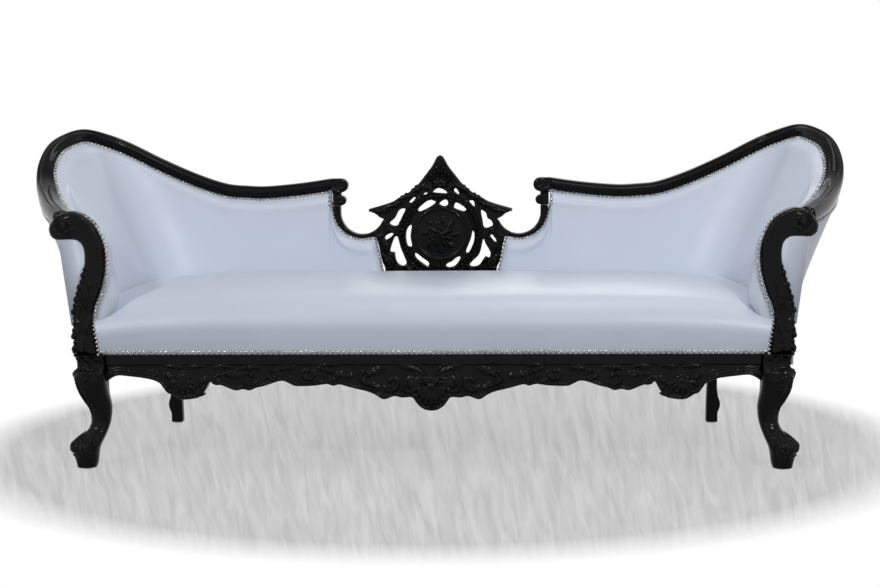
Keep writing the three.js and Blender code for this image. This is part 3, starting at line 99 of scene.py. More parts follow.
def smooth_row(rows, t):
    """Value on a smooth curve through a table's rows, at t from 0 to 1."""
    rows = np.asarray(rows, float)
    spot = t * (len(rows) - 1)
    i = min(int(spot), len(rows) - 2)
    u = spot - i
    a, b, c, d = (rows[min(max(k, 0), len(rows) - 1)] for k in (i - 1, i, i + 1, i + 2))
    return 0.5 * (2 * b + (c - a) * u + (2 * a - 5 * b + 4 * c - d) * u**2 + (3 * b - a - 3 * c + d) * u**3)


def smooth_line(rows, steps):
    """Points on a smooth curve through a table's rows."""
    return np.array([smooth_row(rows, k / steps) for k in range(steps + 1)])


def even_points(rows, pitch):
    """Rows at an even pitch along the line that their first two or three numbers draw."""
    rows = np.asarray(rows, float)
    reach = np.concatenate([[0], np.cumsum(np.linalg.norm(np.diff(rows[:, :3], axis=0), axis=1))])
    marks = np.linspace(0, reach[-1], max(1, round(reach[-1] / pitch)) + 1)
    return np.stack([np.interp(marks, reach, column) for column in rows.T], axis=1)


def unit(v):
    v = np.asarray(v, float)
    return v / np.linalg.norm(v)


def circle(sides):
    """Cosine and sine at even angles round a circle."""
    return [(math.cos(a), math.sin(a)) for a in np.linspace(0, 2 * math.pi, sides, endpoint=False)]


def new_object(name, mesh):
    obj = bpy.data.objects.new(name, mesh)
    bpy.context.scene.collection.objects.link(obj)
    return obj


def mesh_object(name, vertices, faces):
    mesh = bpy.data.meshes.new(name)
    mesh.from_pydata([tuple(v) for v in vertices], [], faces)
    work = bmesh.new()
    work.from_mesh(mesh)
    bmesh.ops.remove_doubles(work, verts=work.verts, dist=1e-6)
    bmesh.ops.recalc_face_normals(work, faces=work.faces)
    work.to_mesh(mesh)
    work.free()
    mesh.polygons.foreach_set("use_smooth", [True] * len(mesh.polygons))
    return new_object(name, mesh)


def loft(rings, closed=True, cap=True):
    """Vertices and faces of a skin over rings that all have the same number of points."""
    rings = np.asarray(rings, float)
    rows, count = rings.shape[:2]
    faces = []
    for i in range(rows - 1):
        for k in range(count if closed else count - 1):
            a, b = i * count + k, i * count + (k + 1) % count
            faces.append((a, b, b + count, a + count))
    if cap:
        faces.append(tuple(range(count)))
        faces.append(tuple((rows - 1) * count + k for k in range(count)))
    return rings.reshape(-1, 3), faces


def join(parts):
    """One list of vertices and faces from several."""
    vertices, faces, start = [], [], 0
    for points, polygons in parts:
        vertices.extend(points)
        faces.extend(tuple(index + start for index in face) for face in polygons)
        start += len(points)
    return vertices, faces


def both_sides(part):
    """A body and its mirror image."""
    points, faces = part
    return join([part, ([(-x, y, z) for x, y, z in points], [tuple(reversed(face)) for face in faces])])


def apply_modifiers(obj):
    """Replaces the object's mesh by its modified one, so no modifier is left."""
    shape = obj.evaluated_get(bpy.context.evaluated_depsgraph_get())
    mesh = bpy.data.meshes.new_from_object(shape)
    obj.modifiers.clear()
    obj.data = mesh
    mesh.polygons.foreach_set("use_smooth", [True] * len(mesh.polygons))
    return obj


def carve(obj, voxel, rounds=1):
    """Melts ornaments and their ground into one carved surface."""
    remesh = obj.modifiers.new("melt", "REMESH")
    remesh.mode = "VOXEL"
    remesh.voxel_size = voxel
    soften = obj.modifiers.new("soften", "SMOOTH")
    soften.factor = 0.5
    soften.iterations = rounds
    return apply_modifiers(obj)


# Top rails: the line that the rail follows, and its moulded section

BACK_LINE = [
    [0, 1, 0.123], [0.12, 1, 0.052], [0.263, 1, 0], [0.349, 1, 0.009], [0.442, 1, 0.051],
    [0.561, 1, 0.213], [0.705, 0.995, 0.476], [0.842, 0.969, 0.769], [0.932, 0.93, 0.925], [1, 0.867, 1],
]
ARM_LINE = [
    [0.52, 0.781, 0.956], [0.74, 0.687, 0.819], [0.816, 0.61, 0.603], [0.76, 0.535, 0.378],
    [0.58, 0.425, 0.221], [0.335, 0.29, 0.113], [0.1, 0.18, 0.054], [-0.12, 0.085, 0],
]
RAIL_OUT = [
    [0, 0, 1], [0.03, 0, 1], [0, 0, 1], [-0.05, 0, 1], [-0.15, 0, 1], [-0.4, 0, 0.92], [-0.45, 0, 0.9],
    [-0.38, 0, 0.92], [-0.2, 0, 0.97], [0.1, 0, 1], [0.5, 0, 0.86], [0.86, 0, 0.5], [1, 0, 0.1],
    [1, -0.05, -0.05], [0.95, -0.25, 0.1], [0.87, -0.48, 0.12], [0.86, -0.5, 0.1], [0.9, -0.4, 0.1],
]
RAIL_GROWTH = [0, 0, 0, 0, 0, 0, 0, 0.02, 0.05, 0.12, 0.25, 0.5, 0.75, 0.9, 1, 1, 0.95, 0.85]
# From the leather's edge over the wide hollow and round to the narrow outer bead, then the back.
RAIL_SECTION = [
    [-0.5, -0.1], [-0.5, 0.2], [-0.46, 0.3], [-0.4, 0.36], [-0.34, 0.37], [-0.29, 0.39], [-0.18, 0.45],
    [-0.05, 0.49], [0.08, 0.5], [0.17, 0.47], [0.23, 0.4], [0.26, 0.36], [0.29, 0.38], [0.34, 0.39],
    [0.4, 0.36], [0.45, 0.28], [0.48, 0.2], [0.5, 0.05], [0.49, -0.1], [0.46, -0.3], [0.4, -0.44],
    [0.3, -0.5], [0, -0.5], [-0.3, -0.5], [-0.44, -0.45], [-0.5, -0.34],
]

ear_top_x = WIDTH / 2 - 0.35 * EAR_OVERHANG
arm_line_x = post_x + 0.95 * POST_SPAN
dip_centre = DIP_HEIGHT - TOP_RAIL_WIDTH / 2
ear_centre = EAR_HEIGHT - TOP_RAIL_WIDTH / 2
arm_centre = ARM_HEIGHT - TOP_RAIL_DEPTH / 2
rail_line = [
    [terminal_outer + x * (ear_top_x - terminal_outer), depth_at(y),
     dip_centre + z * (ear_centre - dip_centre)] for x, y, z in BACK_LINE
] + [
    [arm_line_x + x * (WIDTH / 2 - arm_line_x), depth_at(y),
     arm_centre + z * (ear_centre - arm_centre)] for x, y, z in ARM_LINE
]


def rail_frame(t):
    """Centre, outward direction, face direction and width of the top rail at t from 0 to 1."""
    centre = smooth_row(rail_line, t)
    along = unit(smooth_row(rail_line, min(1, t + 0.002)) - smooth_row(rail_line, max(0, t - 0.002)))
    out = smooth_row(RAIL_OUT, t)
    out = unit(out - along * out.dot(along))
    width = TOP_RAIL_WIDTH + smooth_row(RAIL_GROWTH, t) * (ARM_RAIL_WIDTH - TOP_RAIL_WIDTH)
    return centre, out, np.cross(along, out), width


def top_rail():
    steps = 320
    rings = []
    for k in range(steps + 1):
        centre, out, face, width = rail_frame(k / steps)
        rings.append([centre + out * o * width + face * f * TOP_RAIL_DEPTH for o, f in RAIL_SECTION])
    # The first ring goes a little into the terminal.
    rings[0] = [point - (0.002, 0, 0) for point in rings[0]]
    return loft(rings)


# Leather: the stations of the tub, from the crest round the ear to the arm post

INSIDE_BACK = [
    [0.379, 0.918], [0.477, 0.918], [0.58, 0.918], [0.66, 0.918], [0.72, 0.916], [0.78, 0.904],
    [0.834, 0.877], [0.88, 0.834], [0.915, 0.778],
]
INSIDE_ARM = [0.712, 0.64, 0.56, 0.48, 0.4, 0.32, 0.234, 0.141, 0.07]
INSIDE_TURN = [
    0, 0, 0, 0, 0.01, 0.03, 0.06, 0.095, 0.13, 0.165, 0.19, 0.205, 0.22, 0.23, 0.24, 0.245, 0.25, 0.25,
]
INSIDE_SWELL = [0] * 15 + [0.12, 0.55, 0.93]
INNER_STATION = [0, 0.13, 0.37, 0.6, 0.76, 0.855, 0.91, 0.94]
# At the arm post: depth, across, up and swell.
POST_STATION = [0.005, 0.34, 0.92, 0.35]
# The leather's upper edge, ahead of the top rail's centre and behind it, as shares of the rail's depth.
EDGE_AHEAD, EDGE_BEHIND = 0.28, 0.34
OUTSIDE_BACK = [0.395, 0.499, 0.623, 0.692, 0.761, 0.829, 0.892, 0.948, 0.985]
OUTSIDE_SIDE = [0.91, 0.83, 0.75, 0.65, 0.53, 0.406, 0.281, 0.172, 0.064]
OUTSIDE_TURN = [0, 0, 0, 0, 0, 0, 0, 0.01, 0.05, 0.12, 0.18, 0.21, 0.222, 0.226, 0.228, 0.23, 0.23, 0.23]
OUTSIDE_REACH = [-0.3] * 7 + [-0.25, -0.15, 0, 0.1, 0.2, 0.3, 0.34, 0.3, 0.1, -0.3, -0.75]

inner_stations, rail_stations = 9, 18
pad_stations = inner_stations + rail_stations + 1
pad_base = LEG_HEIGHT + PAD_LIFT
crest_edge_x, crest_foot_x = CREST_HALF * 0.905, CREST_HALF * 0.705
side_place = terminal_outer - GAP * 3
terminal_top = dip_centre + BACK_LINE[0][2] * (ear_centre - dip_centre) + TOP_RAIL_WIDTH / 2
terminal_bottom = CREST_ARM_Z + TERMINAL_LOWER_BALL + PAD_SINK
crest_arm_outer = CREST_ARM_RADIUS + 2 * CREST_ARM_BAND
crest_arm_front = crest_front + (CREST_THICK - CREST_ARM_THICK) / 2
outside_wrap = OUTSIDE_PROUD + OUTSIDE_THICK
outside_y = rear_stile_y + REAR_LEG_DEPTH / 2 + outside_wrap
outside_low = LEG_HEIGHT - OUTSIDE_LAP


def side_outer_x(y):
    """Outer face of the side seat rail at a depth."""
    return side_front_x + (y - side_front_y) / (side_back_y - side_front_y) * (side_back_x - side_front_x)


inside_base = [[x * leg_inner, depth_at(y)] for x, y in INSIDE_BACK]
inside_base += [[side_outer_x(depth_at(y)) - INSIDE_INSET, depth_at(y)] for y in INSIDE_ARM]
outside_base = [[x * (side_back_x + outside_wrap), outside_y] for x in OUTSIDE_BACK]
outside_base += [[side_outer_x(depth_at(y)) + outside_wrap, depth_at(y)] for y in OUTSIDE_SIDE]


def facing(turn):
    """Level direction, at a share of a turn from the front."""
    return np.array([-math.sin(2 * math.pi * turn), -math.cos(2 * math.pi * turn), 0])


def under_crest_arm(x):
    """Height of the underside of the crest's U-shaped arm."""
    across = min(abs(x - CREST_ARM_X), crest_arm_outer - GAP)
    z = CREST_ARM_Z + CREST_ARM_BAND - math.sqrt(crest_arm_outer**2 - across**2)
    return min(z, terminal_bottom) - GAP * 2


def inner_top(i):
    """Upper edge of the leather at a station beside the crest: across and up."""
    if i == inner_stations - 1:
        return [side_place, terminal_bottom + TERMINAL_LOWER_BALL]
    x = crest_edge_x + INNER_STATION[i] * (terminal_outer - crest_edge_x)
    return [x, under_crest_arm(max(x, CREST_HALF))]


inner_tops = [inner_top(i) for i in range(inner_stations)]
inner_bases = [crest_foot_x + share * (terminal_outer - crest_foot_x) for share in INNER_STATION]
inner_bases.append(side_place)
inside_stations = [[x, inside_base[0][1], 0, BACK_PAD_BULGE] for x in inner_bases]
for (x, y), turn, swell in zip(inside_base, INSIDE_TURN, INSIDE_SWELL):
    inside_stations.append([x, y, turn, BACK_PAD_BULGE + swell * (ARM_PAD_BULGE - BACK_PAD_BULGE)])
inside_stations.append([leg_inner * 1.012, depth_at(POST_STATION[0]), 0.25, ARM_PAD_BULGE * POST_STATION[3]])


def rail_share(spot):
    """Place on the top rail that belongs to a station's place."""
    return (spot - inner_stations) / (rail_stations - 1)


def inside_top(spot):
    """Front and back corner of the inside leather's upper edge at a station's place."""
    t = rail_share(spot)
    if t < 0:
        share = min(1, spot / (inner_stations - 1))
        x, z = smooth_row(inner_tops, share)
        edge, back = crest_arm_front + PAD_SINK / 2, crest_arm_front + CREST_ARM_THICK - PAD_SINK / 2
        rail_y, rail_z = rail_line[0][1] - EDGE_AHEAD * TOP_RAIL_DEPTH, terminal_top - TOP_RAIL_WIDTH
        in_line = inside_base[0][1] + (rail_y - inside_base[0][1]) * (z - pad_base) / (rail_z - pad_base)
        return np.array([x, edge + (in_line - edge) * share, z]), np.array([x, back, z])
    centre, out, face, width = rail_frame(min(t, 1))
    edge = centre - out * (width / 2 + GAP * 4)
    front, back = edge + face * EDGE_AHEAD * TOP_RAIL_DEPTH, edge - face * EDGE_BEHIND * TOP_RAIL_DEPTH
    if t > 1:
        y, x, z, _ = POST_STATION
        end = np.array([post_x + x * POST_SPAN, depth_at(y), post_base + z * post_rise])
        share = min(1, spot - inner_stations - rail_stations + 1)
        wrap = np.array([PAD_BASE_THICK, 0, 0])
        return front + (end - front) * share, back + (end + wrap - back) * share
    return front, back


def station(rows, spot):
    """Row of a station table at any place. Between the two close ones beside the terminal it is straight."""
    if inner_stations - 1 < spot < inner_stations:
        share = spot - inner_stations + 1
        return np.array(rows[inner_stations - 1]) * (1 - share) + np.array(rows[inner_stations]) * share
    return smooth_row(rows, spot / (len(rows) - 1))


def pad_point(spot, v, lift=0.0):
    """Point of the inside leather's face: v is 0 at the seat and 1 at the wood."""
    x, y, turn, swell = station(inside_stations, spot)
    last = spot - (pad_stations - 2)
    if last > 0:
        held = inside_stations[-2][3]
        swell = ARM_PAD_BULGE * 0.3 + (held - ARM_PAD_BULGE * 0.3) * math.sqrt(max(0, 1 - last**2))
    base, top = np.array([x, y, pad_base]), inside_top(spot)[0]
    rise = np.linalg.norm(top - base)
    roll = 1.3 * swell / rise
    rounding = math.sqrt(1 - (1 - min(1, max(0, 1 - v) / roll)) ** 2)
    bulge = swell * rounding * math.sin(math.pi / 2 * min(1, v / 0.3))
    # The nails draw the edge in, and the pull leaves a soft ridge beside it.
    from_edge = max(0, 1 - v) * rise
    near_crest = max(0, 1 - abs(spot - 5) / 5)
    ridge = math.exp(-(((from_edge - RIDGE_FROM_EDGE) / RIDGE_WIDTH) ** 2))
    ridge *= RIDGE_RISE + CREST_RIDGE_RISE * near_crest
    drawn_in = min(1, from_edge / NAILED_EDGE) * math.sin(math.pi / 2 * min(1, 0.1 + spot / 1.6))
    bulge = bulge * drawn_in + ridge * min(1, spot)
    return base + (top - base) * v + facing(turn) * (bulge + lift)


def pad_ring(spot, rungs=44):
    """Section of the inside leather with its stuffing, which grows thicker outwards at the arm."""
    x, y, turn, _ = station(inside_stations, spot)
    top, back_top = inside_top(spot)
    wrap = max(0, (spot - pad_stations + 4) / 3)
    ahead = facing(turn)
    ring = [pad_point(spot, (k / rungs) ** 0.8) for k in range(rungs)]
    back_top = back_top - ahead * wrap * ARM_WRAP
    base_back = np.array([x, y, pad_base]) - ahead * (PAD_BASE_THICK + wrap * ARM_WRAP)
    return ring + [top] + [back_top + (base_back - back_top) * k / 4 for k in range(5)]


def leather_stops(start, end, fine=6):
    """Places of the leather's rows. The narrow step between the terminal's two stations gets none."""
    count = round((end - start) * fine)
    stops = [start + (end - start) * k / count for k in range(count + 1)]
    return [stop for stop in stops if not inner_stations - 1.01 < stop < inner_stations - 0.001]


def inside_pad(start, end):
    return loft([pad_ring(spot) for spot in leather_stops(start, end)])


def outside_top(spot):
    """Upper edge of the outside leather, and the way through the leather there."""
    t = rail_share(spot)
    if t < 0:
        x, z = smooth_row(inner_tops, min(1, spot / (inner_stations - 1)))
        y = crest_front + CREST_THICK + GAP * 2 + OUTSIDE_THICK
        return np.array([x, y, z + CREST_ARM_BAND / 2]), np.array([0, -1, 0])
    centre, out, face, width = rail_frame(t)
    behind = TOP_RAIL_DEPTH / 2 + OUTSIDE_THICK + GAP * 4
    return centre + out * smooth_row(OUTSIDE_REACH, t) * width - face * behind, face


outside_stations = [[x, outside_y, 0, OUTSIDE_THICK / 2] for x in inner_bases]
for (x, y), turn in zip(outside_base, OUTSIDE_TURN):
    outside_stations.append([x, y, turn, OUTSIDE_SWELL if turn > 0.1 else OUTSIDE_THICK / 2])
panel_end = inner_stations + rail_stations - 1


def outside_point(spot, v, lift=0.0):
    """Point of the outside leather's face: v is 0 at the seat frame and 1 under the rail."""
    x, y, turn, swell = station(outside_stations, spot)
    top, _ = outside_top(spot)
    base = np.array([x, y, outside_low])
    return base + (top - base) * v - facing(turn) * (swell * math.sin(math.pi * v) + lift)


def outside_ring(spot, rungs=16):
    """Section of the outside leather. Towards the top its thickness follows the rail's face."""
    turn = station(outside_stations, spot)[2]
    top, face = outside_top(spot)
    outer = [outside_point(spot, k / rungs) for k in range(rungs + 1)]
    inner = []
    for k, point in enumerate(outer):
        through = unit(facing(turn) + (face - facing(turn)) * (k / rungs) ** 2)
        inner.append(point + through * (OUTSIDE_THICK - GAP))
    return outer + inner[::-1]


def outside_panel(start, end):
    return loft([outside_ring(spot) for spot in leather_stops(start, end, 4)])


# Arm posts' outlines and the seat between them

POST_INNER = [
    [0.164, 0], [0.175, 0.09], [0.2, 0.16], [0.24, 0.247], [0.2, 0.335], [0.11, 0.42], [0.035, 0.52],
    [0, 0.63], [0.005, 0.72], [0.062, 0.813], [0.19, 0.907], [0.34, 0.962], [0.5, 0.992], [0.61, 1],
    [0.77, 0.985], [0.91, 0.946], [0.985, 0.9],
]
POST_OUTER = [
    [1, 0.875], [0.97, 0.83], [0.87, 0.8], [0.678, 0.8], [0.527, 0.797], [0.425, 0.767], [0.384, 0.713],
    [0.39, 0.631], [0.452, 0.537], [0.548, 0.428], [0.616, 0.32], [0.63, 0.279], [0.596, 0.239],
    [0.62, 0.184], [0.644, 0.143], [0.612, 0.098], [0.63, 0.05], [0.61, 0],
]


def post_line(rows, steps):
    return smooth_line([[post_x + x * POST_SPAN, post_base + z * post_rise] for x, z in rows], steps)


post_inner = post_line(POST_INNER, 120)
post_outer = post_line(POST_OUTER, 120)

SEAT_SECTION = [
    [0, 0.004, 0.1], [0, 0.1, 0.42], [0, 0.27, 0.85], [0, 0.46, 1], [0.012, 0.64, 0.5], [0.05, 0.79, 0],
    [0.13, 0.89, 0], [0.3, 0.965, 0], [0.52, 1, 0], [0.74, 0.995, 0], [0.92, 0.96, 0], [1, 0.9, 0],
]
seat_back = inside_base[0][1] - BACK_PAD_BULGE
lip_low = LEG_HEIGHT - RAIL_REBATE / 2 + GAP


def seat_point(across, t, lift=0.0):
    """Point of the seat's leather: across from -1 to 1, t from the front edge over the top to the back."""
    back, rise, swell = smooth_row(SEAT_SECTION, t)
    y = rail_face + back * (seat_back - rail_face) - swell * SEAT_PROUD - lift
    fall = abs(across) ** 6 * SEAT_END_DROP * rise * (1 - 0.6 * back)
    z = lip_low + rise * (SEAT_HEIGHT - lip_low) - fall
    # The front border ends at the post, and the top runs on under the arm's leather.
    if y < rail_face + 0.012 and z < pad_base + 0.02:
        half = np.interp(z, post_inner[:50, 1], post_inner[:50, 0]) - SEAT_END_GAP
    else:
        half = min(leg_inner + POST_SPAN * 0.1, side_outer_x(y) - INSIDE_INSET + PAD_BASE_THICK / 2)
    return np.array([across * half, y, z])


def seat_cushion():
    low, steps, rungs = rail_top + SEAT_BED_RISE, 140, 60
    rings = []
    for k in range(steps + 1):
        # The rows lie closer towards the ends.
        across = math.sin(math.pi * (k / steps - 0.5))
        ring = [seat_point(across, j / rungs) for j in range(rungs + 1)]
        half = abs(ring[-1][0]) * (1 if across >= 0 else -1)
        ring += [np.array([half, seat_back, low]), np.array([ring[0][0], rail_face + RAIL_REBATE, low])]
        rings.append(ring)
    return loft(rings)


# Carving: closed bodies in a local frame (across, up, out of the ground), melted into their ground later


def place(part, origin, across=(1, 0, 0), up=(0, 0, 1)):
    """Puts a local body at a spot on a surface."""
    points, faces = part
    across, up = unit(across), unit(up)
    turn = np.stack([across, up, np.cross(across, up)])
    return np.asarray(origin, float) + np.asarray(points, float) @ turn, faces


def ball(x, z, wide, high, deep, turn=0.0, out=0.0, sides=12):
    """Ball with three radii, turned in the plane of the ground."""
    rings = []
    for i in range(1, 8):
        a = math.pi * i / 8
        rings.append([(math.sin(a) * c, math.cos(a), math.sin(a) * s) for c, s in circle(sides)])
    points, faces = loft(rings)
    points = points * (wide, high, deep)
    c, s = math.cos(turn), math.sin(turn)
    points = np.stack([x + points[:, 0] * c - points[:, 1] * s, z + points[:, 0] * s + points[:, 1] * c,
                       out + points[:, 2]], axis=1)
    return points, faces


def tube(points, radii, sides=10, flat=1.0):
    """Round rib along local points, with a radius at each one."""
    points = np.array([list(p) + [0.0] * (3 - len(p)) for p in points], float)
    radii = np.broadcast_to(np.asarray(radii, float), len(points))
    along = np.gradient(points, axis=0)
    rings = []
    for point, way, radius in zip(points, along, radii):
        way = unit(way)
        side = unit(np.cross(way, (0, 0, 1)) if abs(way[2]) < 0.95 else (1, 0, 0))
        lift = np.cross(side, way)
        rings.append([point + radius * (side * c + lift * flat * s) for c, s in circle(sides)])
    return loft(rings)


def scroll(x, z, start, turns, reach, tail, thick, fine=0.55, out=0.0, eye=1.5):
    """C-scroll: a rib that winds in from reach to tail round a spot, and ends in a ball."""
    steps = max(12, round(abs(turns) * 30))
    points, radii = [], []
    for k in range(steps + 1):
        t = k / steps
        angle = 2 * math.pi * (start + turns * t)
        radius = reach + (tail - reach) * t**0.8
        points.append((x + radius * math.cos(angle), z + radius * math.sin(angle), out))
        radii.append(thick * (1 - (1 - fine) * t) * min(1, 0.35 + 4 * t))
    end = points[-1]
    return join([tube(points, radii), ball(end[0], end[1], radii[-1] * eye, radii[-1] * eye, thick, out=out)])


def leaf(x, z, angle, length, width, rise=0.006, lobes=3, curl=0.0, out=0.0, tip=0.0):
    """Acanthus leaf: lobed edges, a raised rib and veins. curl bends it, in turns over its length."""
    steps, across = 26, 12
    rings = []
    spot, heading = np.array([x, z], float), 2 * math.pi * angle
    for k in range(steps + 1):
        u = k / steps
        heading_here = heading + 2 * math.pi * curl * u
        way = np.array([math.cos(heading_here), math.sin(heading_here)])
        if k:
            spot = spot + way * length / steps
        side = np.array([-way[1], way[0]])
        body = math.sin(math.pi * min(1, 0.08 + 0.92 * u) ** 0.75)
        notch = abs(math.sin(math.pi * lobes * u)) ** 0.6
        half = width / 2 * max(0.1, body * (0.62 + 0.38 * notch))
        height = rise * (0.35 + 0.65 * math.sin(math.pi * (0.1 + 0.85 * u))) + tip * u**2
        ring = []
        for j in range(across + 1):
            v = j / across * 2 - 1
            vein = 0.16 * math.cos(9 * v + 6 * lobes * u * (1 if v > 0 else -1) * v)
            lift = height * max(0.12, (1 - abs(v) ** 2.2) * (0.72 + vein) + 0.4 * math.exp(-((v * 6) ** 2)))
            flat = spot + side * v * half
            ring.append((flat[0], flat[1], out + lift))
        for v in (1, 0, -1):
            flat = spot + side * v * half * 0.9
            ring.append((flat[0], flat[1], out - 0.004))
        rings.append(ring)
    return loft(rings)


def fan(x, z, start, end, lobes, inner, outer, lobe, rise, out=0.0):
    """Shell: lobes that spread from a spot, with a ball at the root."""
    parts = [ball(x, z, inner * 1.15, inner * 1.15, rise * 1.3, out=out)]
    for k in range(lobes):
        angle = 2 * math.pi * (start + (end - start) * k / (lobes - 1))
        c, s = math.cos(angle), math.sin(angle)
        middle = (inner + outer) / 2
        parts.append(ball(x + c * middle, z + s * middle, (outer - inner) / 2 * 1.15, lobe, rise, angle, out))
        parts.append(ball(x + c * outer, z + s * outer, lobe * 0.95, lobe * 0.95, rise * 0.9, 0, out))
    return join(parts)


def beads(points, pitch, radius, out=0.0):
    """Row of beads along a line."""
    return join([ball(x, z, radius, radius, radius, out=out, sides=8) for x, z in even_points(points, pitch)])


def plate(outline, openings, front, thick, bevel):
    """Plate that faces the front, from points across and up, with openings cut through."""
    curve = bpy.data.curves.new("plate", "CURVE")
    curve.dimensions, curve.fill_mode = "2D", "BOTH"
    curve.extrude, curve.bevel_depth, curve.offset = thick / 2 - bevel, bevel, -bevel
    curve.bevel_resolution = 2
    for points in [outline] + openings:
        spline = curve.splines.new("POLY")
        spline.points.add(len(points) - 1)
        for spot, (x, z) in zip(spline.points, points):
            spot.co = (x, z, 0, 1)
        spline.use_cyclic_u = True
    obj = new_object("plate", curve)
    mesh = bpy.data.meshes.new_from_object(obj.evaluated_get(bpy.context.evaluated_depsgraph_get()))
    points = [(v.co.x, front + thick / 2 - v.co.z, v.co.y) for v in mesh.vertices]
    faces = [tuple(p.vertices) for p in mesh.polygons]
    bpy.data.objects.remove(obj)
    return points, faces


def bar(low, high):
    """Box between two corners."""
    (x0, y0, z0), (x1, y1, z1) = low, high
    return loft([[(x0, y0, z), (x1, y0, z), (x1, y1, z), (x0, y1, z)] for z in (z0, z1)])


def turn_spot(turn, radius, x=0.0, z=MEDALLION_HEIGHT):
    """Spot on a circle, at a share of a turn."""
    return x + radius * math.cos(2 * math.pi * turn), z + radius * math.sin(2 * math.pi * turn)


def squared_spot(angle, squareness):
    """Spot on a unit circle or, the more square it is, on a unit square."""
    c, s = math.cos(angle), math.sin(angle)
    reach = (abs(c) ** squareness + abs(s) ** squareness) ** (-1 / squareness)
    return c * reach, s * reach


def rounded_ring(x0, x1, y0, y1, z, squareness, count=32):
    """Level ring between an oval and, the more square it is, a rectangle."""
    ring = []
    for k in range(count):
        c, s = squared_spot(2 * math.pi * (k + 0.5) / count, squareness)
        ring.append(((x0 + x1) / 2 + c * (x1 - x0) / 2, (y0 + y1) / 2 + s * (y1 - y0) / 2, z))
    return ring


def on_front(part, y):
    """Puts a local body on a plane that faces the front."""
    return place(part, (0, y, 0))


# Front seat rail: serpentine apron with C-scrolls, leaves and a shell drop

APRON = [
    [0, 1], [0.018, 0.985], [0.036, 0.925], [0.048, 0.845], [0.06, 0.765], [0.09, 0.77], [0.113, 0.745],
    [0.146, 0.8], [0.173, 0.715], [0.197, 0.66], [0.227, 0.62], [0.257, 0.575], [0.281, 0.54], [0.3, 0.562],
    [0.322, 0.532], [0.358, 0.56], [0.412, 0.568], [0.432, 0.53], [0.451, 0.48], [0.471, 0.487],
    [0.513, 0.565], [0.537, 0.596], [0.558, 0.642], [0.579, 0.622], [0.603, 0.642], [0.638, 0.565],
    [0.653, 0.534], [0.67, 0.446], [0.683, 0.514], [0.695, 0.635], [0.712, 0.75], [0.728, 0.784],
    [0.758, 0.804], [0.776, 0.79], [0.793, 0.736], [0.821, 0.622], [0.835, 0.52], [0.853, 0.466],
    [0.883, 0.426], [0.931, 0.392], [0.964, 0.378], [0.986, 0.426], [1, 0.486],
]
apron_half = leg_inner - GAP
apron_edge = smooth_line([[x * apron_half, LEG_HEIGHT - z * APRON_DROP] for x, z in APRON], 260)


def inset_line(points, inset):
    """Line moved to its left by an inset."""
    points = np.asarray(points, float)
    along = np.gradient(points, axis=0)
    along /= np.linalg.norm(along, axis=1, keepdims=True)
    return points + np.stack([-along[:, 1], along[:, 0]], axis=1) * inset


